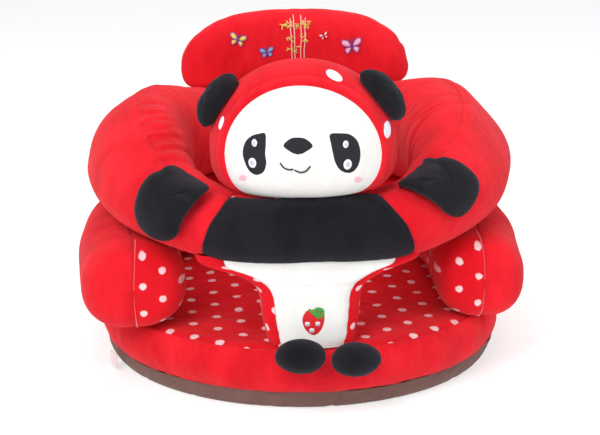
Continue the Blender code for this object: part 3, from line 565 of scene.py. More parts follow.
def bolster_grid(spans=150, around=64):
    """Whole bolster with its rounded arm ends. Rows run along it and columns round it."""
    angle = TAU * np.arange(around) / around
    share = np.linspace(0, 1, spans + 1)
    stations = bolster_half(0.007)[::-1] + mirror(bolster_half(0.0))[1:]
    body = tube(stations, share[:, None], angle[None, :], False, 2.35)
    turns = np.radians([14, 27, 39, 50, 60, 69, 77, 83, 87, 90])
    ends = []
    for row in (body[0], body[-1]):
        middle = row.mean(0)
        forward = np.array((0, -0.040, 0))
        end = [middle + (row - middle) * math.cos(t) ** 0.48 + forward * math.sin(t) for t in turns]
        ends.append(np.array(end))
    grid = np.vstack([ends[0][::-1], body, ends[1]])
    spine = tube(stations, np.linspace(0, 1, len(grid))[:, None], 0 * angle[None, :], False, inset=0.0525)
    return grid, spine, len(turns)


def build_bolster():
    """The lower bolster's red cover and its dotted lining."""
    grid, spine, end_rows = bolster_grid()
    rows, around = grid.shape[:2]
    top, bottom = seams(grid)
    column = np.arange(around)[None, :]
    held = np.zeros((rows, around))
    held[:, bottom - 5 : bottom + 6] = 1
    held[:, top - 3 : top + 4] = 0.7
    held[0], held[-1] = 1, 1
    inner = (column > top) & (column < bottom)
    loose = np.repeat(0.45 + 0.55 * inner, rows, axis=0)
    grid = settle(grid, False, held, loose, pressure=6, grow=0.05, frames=14, cap=0.007)
    normal = normals_of(grid, False, spine, whole=False)
    along = around_length(grid, 0)[:, None]
    seam = np.minimum(np.abs(column - top), np.abs(column - bottom))
    pucker = creases(along / 0.017, column * 0.06, 31, 0.2) * np.exp(-seam / 5.0)
    folds = creases(along / 0.05, column * 0.05, 35, 0.14) * inner
    grid = grid - normal * (0.0016 * pucker + 0.0022 * folds)[..., None]
    for line in (top, bottom):
        grid = groove(grid, normal, 1, line, 0.0014, 1.2)
    outside, inside = halves(grid)
    middle = (0, 0, 0.105)
    nodes = ("bolster_outer_cover", "bolster_filling")
    panel("bolster_outside_cover", outside, "red_plush", middle, "seat", *nodes, fill=0.85)
    shape = {"fill": 0.85, "layout": lining_layout(inside, end_rows)}
    nodes = ("bolster_dotted_lining",)
    lining = panel("bolster_inside_lining", inside, "dotted_plush", middle, "seat", *nodes, **shape)
    lining.data.flip_normals()  # a lining faces the sitter
    return grid, normal, end_rows


def lining_layout(inside, end_rows):
    """Flat coordinates of the lining: along the arm, then across its front, by height."""
    rows = len(inside)
    along = around_length(inside[end_rows : rows - end_rows], 0)
    along = np.concatenate([np.full(end_rows, along[0]), along, np.full(end_rows, along[-1])])
    face = np.abs(inside[..., 0]).min(1, keepdims=True)
    face[:end_rows], face[-end_rows:] = face[end_rows], face[-end_rows - 1]
    across = np.abs(inside[..., 0]) - face
    index = np.arange(rows)[:, None]
    into_end = np.clip((end_rows + 4 - np.minimum(index, rows - 1 - index)) / 5, 0, 1)
    way = np.where(index < rows / 2, -1, 1)
    return np.dstack([along[:, None] + way * across * into_end, inside[..., 2]])


# ---- upper bolster and chest
def ring_half(lift):
    """Half of the ring, from the middle of the chest to the middle of the back."""
    low = 0.1465
    return [
        (0.000, -0.158, 0.032, 0.1345, 0.2040),
        (0.080, -0.150, 0.033, 0.1370, 0.2040 + 0.3 * lift),
        (0.142, -0.100, 0.044, low, 0.2270 + lift),
        (0.167, -0.020, 0.054, low, 0.2610),
        (0.160, 0.070, 0.055, low, 0.2670),
        (0.095, 0.158, 0.052, low, 0.2460),
        (0.000, 0.185, 0.050, low, 0.2440),
    ]


def ring_stations(left=RING_LIFT_LEFT, right=0.0):
    return ring_half(left) + mirror(ring_half(right))[-2:0:-1]


def ring_grid(rows=272, around=76):
    """Rows run round the seat from the middle of the chest; the black band ends on whole rows."""
    angle = TAU * np.arange(around) / around
    raw = np.arange(rows) / rows
    raw = np.where(raw > 0.5, raw - 1, raw)[:, None]
    height = (np.sin(angle)[None, :] + 1) / 2
    right_end = 0.090 - 0.030 * height**1.6
    left_end = 0.104 - 0.022 * height**1.6
    end = np.where(raw >= 0, right_end, left_end)
    size = np.abs(raw)
    inside = size * end / BAND
    outside = end + (size - BAND) * (0.5 - end) / (0.5 - BAND)
    share = np.sign(raw) * np.where(size < BAND, inside, outside)
    grid = tube(ring_stations(), share % 1, angle[None, :], True, 2.4)
    # The tops of both sides slope down and out, more on the panda's right.
    middle = grid.mean(1, keepdims=True)
    shoulder = np.clip(np.sin(angle), 0, 1) * np.clip(np.cos(angle), 0, 1) * 2
    beside = np.clip(np.abs(middle[..., 0]) / 0.15, 0, 1) ** 2
    round_top = np.clip(np.sin(angle) + 0.25, 0, 1) * np.clip(0.5 + 1.2 * np.cos(angle), 0, 1)
    slump = np.where(middle[..., 0] < 0, 0.017 * round_top[None, :], 0.013 * shoulder[None, :]) * beside
    inward = (middle - grid) * np.array((1, 1, 0))
    inward /= np.maximum(np.linalg.norm(inward, axis=2, keepdims=True), 1e-6)
    grid = grid + inward * slump[..., None]
    grid[..., 2] -= 0.35 * slump
    return grid


def build_ring():
    """The upper bolster as one closed ring, cut into the two arms' covers and the chest."""
    grid = ring_grid()
    rows, around = grid.shape[:2]
    top, bottom = seams(grid)
    column = np.arange(around)[None, :]
    row = np.arange(rows)[:, None]
    band_rows = int(round(BAND * rows))
    from_front = np.minimum(row, rows - row)
    held = np.zeros((rows, around))
    held[:, bottom - 4 : bottom + 5] = 1
    held[:, top - 1 : top + 2] = 0.85
    inner = np.clip(np.sin((column - top) / (bottom - top) * math.pi), 0, 1)
    inner = inner * ((column > top) & (column < bottom))
    side = np.exp(-(((from_front - 1.5 * band_rows) / (0.9 * band_rows)) ** 2))
    loose = 0.30 + 0.70 * inner * (0.45 + 0.55 * side)
    grid = settle(grid, True, held, loose, pressure=7, grow=0.11, frames=16, cap=0.009)
    normal = normals_of(grid, True, grid.mean(1, keepdims=True), whole=False)
    along = row * 0.0038  # metres from the middle of the chest
    seam = np.minimum(np.abs(column - top), np.abs(column - bottom))
    pucker = creases(along / 0.016, column * 0.05, 41, 0.2) * np.exp(-seam / 5.5)
    fan = creases(along / 0.030, column * 0.045 + along * 1.5, 44, 0.15) * inner * (0.35 + 0.65 * side)
    broad = lattice_noise(along / 0.055, column / 9, 47)
    depth = 0.0015 * pucker + 0.0030 * fan * (from_front > band_rows) - 0.0010 * broad
    grid = grid - normal * depth[..., None]
    for line in (top, bottom):
        grid = groove(grid, normal, 1, line, 0.0016, 1.3)
    for line in (band_rows, rows - band_rows):
        grid = groove(grid, normal, 0, line, 0.0016, 1.4)

    arms = np.concatenate([grid, grid[:1]], axis=0)[band_rows : rows - band_rows + 1]
    chest = np.concatenate([grid[rows - band_rows :], grid[: band_rows + 1]], axis=0)
    ring_outside = ("ring_outside_cover", "red_plush", "ring_outer_cover", "ring_filling")
    ring_inside = ("ring_inside_cover", "red_plush_gathered", "ring_inner_cover")
    chest_outside = ("chest_black_cover", "black_plush", "chest_band")
    chest_inside = ("chest_back_cover", "dotted_plush", "chest_back_panel")
    for part, covers in ((arms, (ring_outside, ring_inside)), (chest, (chest_outside, chest_inside))):
        for half, (name, look, *nodes) in zip(halves(part), covers):
            shape = {"fill": 0.85, "layout": layout_of(half)}
            obj = panel(name, half, look, (0, 0.02, 0.205), "seat", *nodes, **shape)
        obj.data.flip_normals()  # the inner half faces the sitter


# ---- belly
def build_belly():
    """A stem from the seat to the chest. Each level is half width, half depth, middle y and height."""
    levels = [
        (0.0410, 0.024, -0.1795, 0.0620),
        (0.0440, 0.029, -0.1770, 0.0720),
        (0.0475, 0.031, -0.1720, 0.0880),
        (0.0490, 0.031, -0.1680, 0.1030),
        (0.0545, 0.031, -0.1645, 0.1170),
        (0.0740, 0.030, -0.1615, 0.1280),
        (0.1050, 0.027, -0.1570, 0.1370),
        (0.1110, 0.022, -0.1530, 0.1460),
    ]
    rows, around = 44, 64
    form = between(levels, np.linspace(0, 1, rows), False)
    angle = TAU * np.arange(around) / around
    across = BELLY_X - power(np.sin(angle), 0.8)[None, :] * form[:, :1]
    deep = -power(np.cos(angle), 0.8)[None, :] * form[:, 1:2] + form[:, 2:3]
    grid = np.dstack([across, deep, form[:, 3:4] + 0 * angle])
    column = np.arange(around)[None, :]
    row = np.arange(rows)[:, None]
    held = np.zeros((rows, around))
    held[:2], held[-6:] = 1, 1
    edges = (8, 56, 22, 42)
    held[:, edges] = 0.8
    loose = np.full((rows, around), 0.8)
    grid = settle(grid, False, held, loose, pressure=5, grow=0.05, frames=12, cap=0.005)
    normal = normals_of(grid, False, grid.mean(1, keepdims=True), whole=False)
    away = np.min([np.minimum(abs(column - e), around - abs(column - e)) for e in edges], axis=0)
    pucker = creases(row / 5.0, column * 0.1, 51, 0.2) * np.exp(-away / 3.0)
    from_middle = (column + around // 2) % around - around // 2
    waist = np.exp(-((row - 0.60 * rows) / 1.1) ** 2) * np.exp(-((from_middle / 7.0) ** 2))
    grid = grid - normal * (0.0012 * pucker + 0.0016 * waist)[..., None]
    for edge in edges:
        grid = groove(grid, normal, 1, edge, 0.0018, 0.9)
    for name, first, last, look, *nodes in (
        ("belly_white_cover", -8, 8, "white_plush", "belly_white_panel", "belly_filling"),
        ("belly_gusset_right", 8, 22, "dotted_plush", "gusset_right"),
        ("belly_back_cover", 22, 42, "dotted_plush", "belly_back_panel"),
        ("belly_gusset_left", 42, 56, "dotted_plush", "gusset_left"),
    ):
        part = grid[:, np.arange(first, last + 1) % around]
        panel(name, part, look, (0, -0.17, 0.10), "seat", *nodes, fill=0.85, layout=layout_of(part))


# ---- head
def head_local(polar, around, lift=0.0):
    """Points of the head in its own frame, by angle from the middle of the face and angle round it."""
    polar, around = np.broadcast_arrays(polar, around)
    pole = np.array((0, -math.cos(FACE_TILT), -math.sin(FACE_TILT)))
    side = np.array((1.0, 0, 0))
    ring = np.cos(around)[..., None] * side + np.sin(around)[..., None] * np.cross(side, pole)
    way = np.cos(polar)[..., None] * pole + np.sin(polar)[..., None] * ring
    above = way[..., 2] > 0
    jowl = 0.0045 * np.clip(-1.4 * way[..., 0], 0, 1)
    height = np.where(above, HEAD_HALF[2], HEAD_BELOW + jowl)
    squareness = np.where(above, 2.0, HEAD_SQUARENESS_BELOW)
    level, steep = np.hypot(way[..., 0], way[..., 1]), np.abs(way[..., 2])
    size = (level**squareness + steep**squareness) ** (-1 / squareness)
    half = np.stack([np.full_like(height, HEAD_HALF[0]), np.full_like(height, HEAD_HALF[1]), height], -1)
    return way * size[..., None] * (half + lift)


def face_opening(angle):
    """Half angle of the hood's opening: it runs on under the chin and is narrower at its lower corners."""
    chin = np.clip(np.sin(angle), 0, 1) ** 6
    right = np.clip(-np.cos(angle), 0, 1) ** 2
    corners = np.clip(np.sin(2 * angle) * np.sign(np.cos(angle)), 0, 1) * (np.sin(angle) > 0)
    return FACE_ANGLE + np.radians(16 * chin - 4 * right - 2.5 * corners)


def build_head():
    """The white face and the red hood round it, which swells at its bound hem."""
    matrix = head_matrix()
    angle = TAU * np.arange(120)[None, :] / 120
    opening = face_opening(angle)
    share = np.concatenate([[0.002], np.linspace(0.05, 1, 30)])[:, None]
    shape = {"fill": 0.9, "wrap_v": True}
    face = to_world(head_local(share * (opening + math.radians(3)), angle), matrix)
    nodes = ("face_white_panel", "head_filling")
    face_obj = panel("face_cover", face, "white_plush", HEAD_CENTRE, "head", *nodes, **shape)

    start, stop = opening - math.radians(0.8), math.pi - 0.004
    polar = start + (stop - start) * np.linspace(0, 1, 50)[:, None] ** 1.15
    hem = math.radians(9)
    past = polar - start
    lift = 0.0026 * np.exp(-((past / (hem * 1.6)) ** 2)) + 0.0006
    lift[0] = -0.0008
    dip = 0.0016 * np.exp(-(((past - hem) / math.radians(1.3)) ** 2))
    under = np.clip(np.sin(angle) * 2 - 0.6, 0, 1)
    local = head_local(polar, angle, ((lift - dip) * (1 - 0.9 * under))[..., None])
    pull = creases(angle * 5.5, past * 1.4, 61, 0.15) * np.exp(-((past - hem) / 0.25) ** 2)
    hood = to_world(local * (1 - 0.010 * pull * (past > hem))[..., None], matrix)
    nodes = ("hood_red_cover", "hood_binding")
    hood_obj = panel("hood_cover", hood, "red_plush", HEAD_CENTRE, "head", *nodes, **shape)
    return face_obj, hood_obj


# ---- pads on a surface: ears and paws
def pad_grid(outline, levels, at, stand_off, height, middle):
    """Rings of a pad that follows a surface. outline is (n, 2) in metres, levels (spread u, v, share)."""
    centre = outline.mean(0)
    rings = []
    for spread_u, spread_v, share in levels:
        uv = centre + (outline - centre) * np.array((spread_u, spread_v))
        step = 1e-3
        du = at(uv[:, 0] + step, uv[:, 1]) - at(uv[:, 0] - step, uv[:, 1])
        dv = at(uv[:, 0], uv[:, 1] + step) - at(uv[:, 0], uv[:, 1] - step)
        normal = np.cross(du, dv)
        normal /= np.linalg.norm(normal, axis=1, keepdims=True)
        here = at(uv[:, 0], uv[:, 1])
        flip = np.sign(((here - middle) * normal).sum(1, keepdims=True))
        lift = stand_off + share * height(uv[:, 0], uv[:, 1])
        rings.append(here + normal * flip * np.asarray(lift).reshape(-1, 1))
    return np.array(rings)


def closed_curve(points, count):
    """A smooth closed outline through a few points."""
    return between(points, np.arange(count) / count, True)


def ear_seat(lean):
    """The head's surface round an ear that leans by an angle from upright."""
    reach = (HEAD_HALF[0] + HEAD_HALF[2]) / 2
    matrix = head_matrix()

    def at(u, v):
        angle, y = lean + u / reach, v - 0.012
        share = np.sqrt(1 - (y / HEAD_HALF[1]) ** 2)
        local = np.stack([HEAD_HALF[0] * np.sin(angle) * share, y, HEAD_HALF[2] * np.cos(angle) * share], -1)
        return to_world(local, matrix)

    return at


def limb(name, grid, fill):
    """A stuffed black piece that stands for the CAD node of its own body."""
    middle = grid.reshape(-1, 3).mean(0)
    panel(name + "_plush", grid, "black_plush", middle, name, name, fill=fill, wrap_v=True, thick=0)


def build_ears():
    angle = TAU * np.arange(56) / 56
    outline = np.stack([0.0285 * np.cos(angle), 0.0115 * np.sin(angle)], 1)
    levels = [(0.0, 0.0, -0.10), (0.55, 0.30, -0.10), (0.86, 0.50, -0.08)]
    for rise in (0.0, 0.3, 0.6):
        levels.append((0.95, 0.62 + 0.38 * math.sin(min(1, 3 * rise) * math.pi / 2), 0.30 * rise))
    for turn in np.linspace(0, math.pi / 2, 12)[:-1]:
        spread = abs(math.cos(turn)) ** 0.75
        levels.append((spread, spread, 0.25 + 0.75 * math.sin(turn)))
    levels.append((0.0, 0.0, 1.0))
    for name, lean in (("ear_right", -60), ("ear_left", 54)):
        at = ear_seat(math.radians(lean))
        grid = pad_grid(outline, levels, at, 0.0024, lambda u, v: 0.0190 + 0 * u, HEAD_CENTRE)
        centre = grid.reshape(-1, 3).mean(0)
        bumps = lattice_noise(np.arange(len(grid))[:, None] / 3.0, angle[None, :] * 1.6, 71)
        grid = grid + normals_of(grid, False, centre) * 0.0008 * bumps[..., None]
        limb(name, grid, fill=0.8)


def paw_seat(side, station, top_angle, slant):
    """The ring's surface below a paw's root, as a function of metres along and down the paw."""
    lift = RING_LIFT_LEFT if side > 0 else 0.0
    stations = ring_stations(lift, lift)
    length = len(stations) * 0.0797

    def at(u, v):
        along = u * math.cos(slant) + v * math.sin(slant)
        down = v * math.cos(slant) - u * math.sin(slant)
        share = (station / len(stations) + along / length) % 1
        angle = top_angle - down / 0.043
        point = tube(stations, share[:, None], angle[:, None], True, 2.5)[:, 0]
        return point * np.array((side, 1, 1))

    return at


def build_paws():
    half, tip, length = 0.0235, 0.0185, 0.076
    outline = [(-half * 0.92, 0.001), (0.0, -0.002)]
    outline += [(half * 0.84, 0.001), (half * 0.85, 0.016), (half * 0.86, 0.036)]
    for turn in math.pi * np.arange(9) / 8:
        outline.append((tip * math.cos(turn), length - tip + tip * math.sin(turn)))
    outline += [(-half * 0.93, 0.036), (-half, 0.016)]
    outline = closed_curve(outline, 72)
    levels = [(0.0, -0.05), (0.4, -0.05), (0.75, -0.03)]
    for turn in np.linspace(0, math.pi, 16)[:8]:
        levels.append((0.90 + 0.10 * math.sin(turn), 0.5 - 0.5 * math.cos(turn)))
    for turn in np.linspace(0.15, 1.25, 9):
        levels.append((0.9 * math.cos(turn) ** 0.6 + 0.1, 0.45 + 0.55 * math.sin(turn)))
    levels += [(0.35, 1.0), (0.0, 1.0)]
    levels = [(spread, spread, share) for spread, share in levels]

    def height(u, v):
        fold = 0.35 * np.exp(-(((v - 0.30 * length) + 0.25 * u) / 0.0028) ** 2)
        return 0.0145 * (0.50 + 0.50 * np.minimum(1, v / 0.03)) * (1 - fold)

    for name, side, station, top, slant in (("paw_right", -1, 1.50, 81, 9), ("paw_left", 1, 1.22, 95, 21)):
        at = paw_seat(side, station, math.radians(top), math.radians(slant))
        root = at(np.zeros(1), np.zeros(1))[0]
        inside = root - 0.05 * np.array((root[0], root[1], 0)) / math.hypot(root[0], root[1])
        grid = pad_grid(outline, levels, at, 0.0022, height, inside)
        limb(name, grid, fill=0.7)


def build_feet():
    half = np.array((0.0240, 0.0168, 0.0168))
    polar = np.linspace(0.001, math.pi - 0.001, 36)[:, None]
    angle = TAU * np.arange(56)[None, :] / 56
    across = np.cos(polar) + 0 * angle
    deep, up = np.sin(polar) * np.cos(angle), np.sin(polar) * np.sin(angle)
    for name, x, z in (("foot_right", -0.0215, 0.0662), ("foot_left", 0.0305, 0.0610)):
        swell = 1 + 0.03 * lattice_noise(across * 2 + x * 90, up * 2, 81)[..., None]
        grid = np.dstack([across, deep, up]) * half * swell + np.array((x, -0.2155 - half[1], z))
        limb(name, grid, fill=0.8)


# ---- headrest
def headrest_outline(count):
    right = [(0.000, -0.004), (0.060, -0.004), (0.112, -0.006), (0.1270, -0.001), (0.1325, 0.016)]
    right += [(0.1290, 0.036), (0.1140, 0.056), (0.084, 0.074), (0.045, 0.082), (0.000, 0.084)]
    points = right + [(-x, z) for x, z in right[-2:0:-1]]
    fine = closed_curve(points, 900)
    steps = np.linalg.norm(np.roll(fine, -1, 0) - fine, axis=1)
    place = np.concatenate([[0], np.cumsum(steps)[:-1]])
    want = np.linspace(0, steps.sum(), count, endpoint=False)
    return np.stack([np.interp(want, place, fine[:, k]) for k in (0, 1)], 1)


def build_headrest():
    """A half-moon cushion of two covers, and its front cover is returned for the embroidery."""
    outline = headrest_outline(124)
    middle = np.array((0, 0.040))
    turns = np.concatenate([np.linspace(0, 60, 9), np.linspace(66, 90, 9)])
    rings = []
    for side, order in ((1, turns[::-1]), (-1, turns[1:])):
        for turn in np.radians(order):
            flat = middle + (outline - middle) * math.cos(turn) ** 0.72
            deep = np.full(len(flat), HEADREST_Y + side * HEADREST_THICK / 2 * math.sin(turn))
            rings.append(np.stack([HEADREST_X + flat[:, 0], deep, HEADREST_LOW + flat[:, 1]], 1))
    grid = np.array(rings)
    rows, around = grid.shape[:2]
    seam = len(turns) - 1
    row = np.arange(rows)[:, None]
    column = np.arange(around)[None, :]
    held = np.zeros((rows, around))
    held[seam] = 0.9
    loose = np.repeat(0.25 + 0.75 * np.exp(-((row - seam) / 5.0) ** 2), around, axis=1)
    grid = settle(grid, False, held, loose, pressure=6, grow=0.07, frames=14, cap=0.007)
    centre = grid.reshape(-1, 3).mean(0)
    normal = normals_of(grid, False, centre)
    near = np.exp(-np.abs(row - seam) / 3.2)
    corner = sum(np.exp(-((outline[:, 0] - x) / 0.03) ** 2) for x in (0.118, -0.118))
    corner = corner[None, :] * (outline[None, :, 1] < 0.05)
    gathers_in = creases(column / 2.6, row * 0.12, 91, 0.25)
    grid = grid - normal * ((0.0012 + 0.0022 * corner) * gathers_in * near)[..., None]
    grid = groove(grid, normal, 0, seam, 0.0022, 0.8)
    front_nodes = ("headrest_front_cover", "headrest_filling")
    covers = []
    for name, half, nodes in (
        ("headrest_front_plush", grid[seam:], front_nodes),
        ("headrest_back_plush", grid[: seam + 1], ("headrest_back_cover",)),
    ):
        covers.append(panel(name, half, "red_plush", centre, "headrest", *nodes, fill=0.8, wrap_v=True))
    return covers[0]


# ---- embroidery
class Host:
    """A cover that embroidery is laid on, hit by rays along its own depth."""

    def __init__(self, obj, matrix):
        self.tree = BVHTree.FromObject(obj, bpy.context.evaluated_depsgraph_get())
        self.matrix = matrix
        self.way = (matrix.to_3x3() @ Vector((0, 1, 0))).normalized()

    def at(self, x, z):
        """Surface point and normal in front of (x, z) of the host's own frame."""
        hit, normal, _, _ = self.tree.ray_cast(self.matrix @ Vector((x, -0.15, z)), self.way)
        if hit is None:
            return None, None
        return np.array(hit), np.array(-normal if normal.dot(self.way) > 0 else normal)


def patch(host, outline, height, lift, rings=5, tuck=0.0008, count=40):
    """A raised patch on a cover: points and faces. It is full in the middle and tucked in at its edge."""
    outline = closed_curve(outline, count)
    centre = outline.mean(0)
    points, faces = [], []
    for number in range(rings + 1):
        spread = number / rings
        rise = lift + height * (1 - spread**4) - tuck * spread**4
        ring = centre + (outline - centre) * spread if number else centre[None, :]
        for x, z in ring:
            hit, normal = host.at(float(x), float(z))
            points.append(hit + normal * rise)
    for index in range(count):
        after = (index + 1) % count
        faces.append((0, 1 + index, 1 + after))
        for number in range(rings - 1):
            a, b = 1 + number * count, 1 + (number + 1) * count
            faces.append((a + index, b + index, b + after, a + after))
    return points, faces


def patches(name, host, parts, look, body, *nodes, slot=None):
    """Several patches as one piece. parts are (outline, height, lift)."""
    points, faces = [], []
    for part in parts:
        some, more = patch(host, *part)
        faces += [tuple(i + len(points) for i in face) for face in more]
        points += some
    middle = np.mean(points, axis=0) + 0.05 * np.array(host.way)
    return finish_piece(make_mesh(name, points, faces, look, middle), body, look, *nodes, slot=slot)


def thread_lines(name, host, lines, radius, look, body, *nodes, slot=None, lift=0.0006):
    """Round threads laid on a cover, each line a list of (x, z)."""
    points, faces = [], []
    for line in lines:
        spine = []
        for x, z in between(line, np.linspace(0, 1, max(6, 5 * len(line))), False):
            hit, normal = host.at(float(x), float(z))
            if hit is not None:
                spine.append((hit + normal * lift, normal))
        add_tube(points, faces, spine, radius)
    return finish_piece(make_mesh(name, points, faces, look), body, look, *nodes, slot=slot)


def add_tube(points, faces, spine, radius, sides=6):
    """Appends a closed round tube along (point, normal) pairs."""
    if len(spine) < 2:
        return
    first = len(points)
    count = len(spine)
    for index, (point, normal) in enumerate(spine):
        way = spine[min(count - 1, index + 1)][0] - spine[max(0, index - 1)][0]
        way = way / max(np.linalg.norm(way), 1e-9)
        side = np.cross(way, normal)
        size = radius * (0.55 if index in (0, count - 1) else 1.0)
        for turn in range(sides):
            a = TAU * turn / sides
            points.append(point + (side * math.cos(a) + normal * math.sin(a)) * size)
    for index in range(count - 1):
        low, high = first + index * sides, first + (index + 1) * sides
        for turn in range(sides):
            after = (turn + 1) % sides
            faces.append((low + turn, high + turn, high + after, low + after))
    faces.append(tuple(first + t for t in range(sides)))
    faces.append(tuple(first + (count - 1) * sides + t for t in reversed(range(sides))))


def oval(width, height, cx=0.0, cz=0.0, turn=0.0, count=10):
    made = []
    for index in range(count):
        a = TAU * index / count
        x, z = width / 2 * math.cos(a), height / 2 * math.sin(a)
        c, s = math.cos(turn), math.sin(turn)
        made.append((cx + x * c - z * s, cz + x * s + z * c))
    return made


def build_face(face_obj):
    """Eyes, nose and mouth. An eye's outline has x growing away from the nose."""
    host = Host(face_obj, head_matrix())
    eyes = {
        "right": [(-0.0128, 0.0235), (-0.0135, 0.0120), (-0.0128, 0.0000), (-0.0140, -0.0100)]
        + [(-0.0110, -0.0200), (-0.0030, -0.0250), (0.0050, -0.0220), (0.0105, -0.0130)]
        + [(0.0135, -0.0010), (0.0105, 0.0115), (0.0030, 0.0195), (-0.0060, 0.0228)],
        "left": [(-0.0182, 0.0236), (-0.0168, 0.0125), (-0.0145, 0.0010), (-0.0118, -0.0090)]
        + [(-0.0062, -0.0180), (0.0030, -0.0220), (0.0105, -0.0185), (0.0150, -0.0090)]
        + [(0.0155, 0.0030), (0.0120, 0.0145), (0.0040, 0.0220), (-0.0060, 0.0240)],
    }
    # Each shine is its label, its place towards the nose and up, its width and its height.
    shines = (("small", 0.001, 0.0110, 0.0060, 0.0080), ("large", -0.001, -0.0080, 0.0088, 0.0112))
    for side, name in ((1, "right"), (-1, "left")):
        cx = side * -0.0435
        outline = [(cx - side * x, 0.0010 + z) for x, z in eyes[name]]
        patches(f"eye_{name}", host, [(outline, 0.0009, 0)], "black_felt", "head", f"eye_patch_{name}")
        for label, x, z, width, height in shines:
            spot = oval(width, height, cx + side * x, z)
            core = oval(width * 0.6, height * 0.6, cx + side * x, z)
            node = f"eye_shine_{label}_{name}"
            patches(f"shine_{label}_{name}", host, [(spot, 0.0007, 0.0010)], "white_thread", "head", node)
            patches(f"shine_core_{label}_{name}", host, [(core, 0.0004, 0.0016)], "lavender_thread", "head")
    nose = [(-0.0173, 0.0105), (-0.0100, 0.0183), (-0.0015, 0.0198), (0.0070, 0.0183), (0.0145, 0.0108)]
    nose += [(0.0062, 0.0040), (0.0022, 0.0022), (-0.0015, 0.0015), (-0.0052, 0.0022), (-0.0092, 0.0040)]
    patches("nose_satin", host, [(nose, 0.0012, 0)], "black_felt", "head", "nose")
    left = [(-0.0182, -0.0060), (-0.0147, -0.0105), (-0.0097, -0.0123), (-0.0058, -0.0117)]
    right = [(-0.0048, -0.0125), (0.0005, -0.0146), (0.0058, -0.0135), (0.0103, -0.0084)]
    thread_lines("mouth_threads", host, [left, right], 0.0007, "black_felt", "head", "mouth_stitching")


def pink_blush():
    """Pink thread that fades into the white face towards a patch's edge."""
    s = Shader("pink_blush", 0.9)
    fade = s.times(s.ramp(s.layout("Fac"), 1.0, 0.45), 0.75)
    blotch = s.noise(500, 3)
    s.colour(s.mix(s.times(fade, s.plus(blotch, 0.5)), (0.90, 0.89, 0.87), (0.88, 0.36, 0.44)))
    s.bump((s.noise(1500, 2), 0.4, 0.0008))
    s.sheen(0.2, 0.45, (1, 1, 1))
    return s.material


def build_cheeks(face_obj):
    """Soft pink blush, as two thin round patches whose edges fade into the face."""
    host = Host(face_obj, head_matrix())
    rings, count = 5, 40
    spread = np.concatenate([[0.0], np.repeat(np.arange(1, rings + 1) / rings, count)])
    LOOKS["pink_thread"] = pink_blush()
    for side, name in ((1, "right"), (-1, "left")):
        spot = oval(0.0120, 0.0095, side * -0.0545, -0.0245, side * 0.3)
        node = f"cheek_{name}"
        obj = patches(f"cheek_blush_{name}", host, [(spot, 0.0004, 0)], "pink_thread", "head", node)
        layer = obj.data.attributes.new("layout", "FLOAT_VECTOR", "POINT")
        layer.data.foreach_set("vector", np.repeat(spread, 3).astype(np.float32))


def build_hood_spots(hood_obj):
    """Pale oval spots, each by its place, its width and height and its slant."""
    host = Host(hood_obj, head_matrix())
    for name, x, z, width, height, turn in (
        ("hood_spot_top", 0.0305, 0.0700, 0.021, 0.0072, -0.45),
        ("hood_spot_left", 0.0812, 0.0190, 0.0080, 0.0190, 0.12),
        ("hood_spot_right", -0.0765, 0.0240, 0.0050, 0.0160, -0.30),
    ):
        spot = oval(width, height, x, z, turn)
        patches(name, host, [(spot, 0.0003, 0.0002)], "pale_thread", "head")


def build_strawberry():
    belly = bpy.data.objects["belly_white_cover"]
    host = Host(belly, Matrix.Translation((BELLY_X, -0.15, 0.0885)))
    berry = [(0.0, -0.0145), (0.0080, -0.0095), (0.0118, -0.0010), (0.0125, 0.0080), (0.0075, 0.0130)]
    berry += [(0.0, 0.0142), (-0.0080, 0.0125), (-0.0125, 0.0050), (-0.0118, -0.0030), (-0.0075, -0.0100)]
    leaves = (
        (0.0032, 0.0090, -0.0012, 0.0095, 0.75),
        (0.0034, 0.0100, 0.0020, 0.0080, 0.30),
        (0.0034, 0.0105, 0.0052, 0.0075, -0.10),
        (0.0032, 0.0095, 0.0085, 0.0070, -0.35),
        (0.0090, 0.0040, 0.0060, 0.0118, -0.25),
    )
    leaves = [(oval(*leaf), 0.0006, 0.0009) for leaf in leaves]
    places = ((-0.0058, -0.0015), (0.0038, -0.0015), (-0.0018, -0.0075))
    seeds = [(oval(0.0058, 0.0042, x, z), 0.0005, 0.0009) for x, z in places]
    glints = [(oval(0.0050, 0.0020, x, z + 0.0014), 0.0004, 0.0013) for x, z in places]
    for name, parts, look, *nodes in (
        ("strawberry_fruit_satin", [(berry, 0.0009, 0)], "berry_thread", "strawberry_fruit"),
        ("strawberry_leaf_satin", leaves, "leaf_thread", "strawberry_leaves"),
        ("strawberry_seeds", seeds, "lavender_thread"),
        ("strawberry_seed_glints", glints, "pale_thread"),
    ):
        patches(name, host, parts, look, "seat", *nodes)


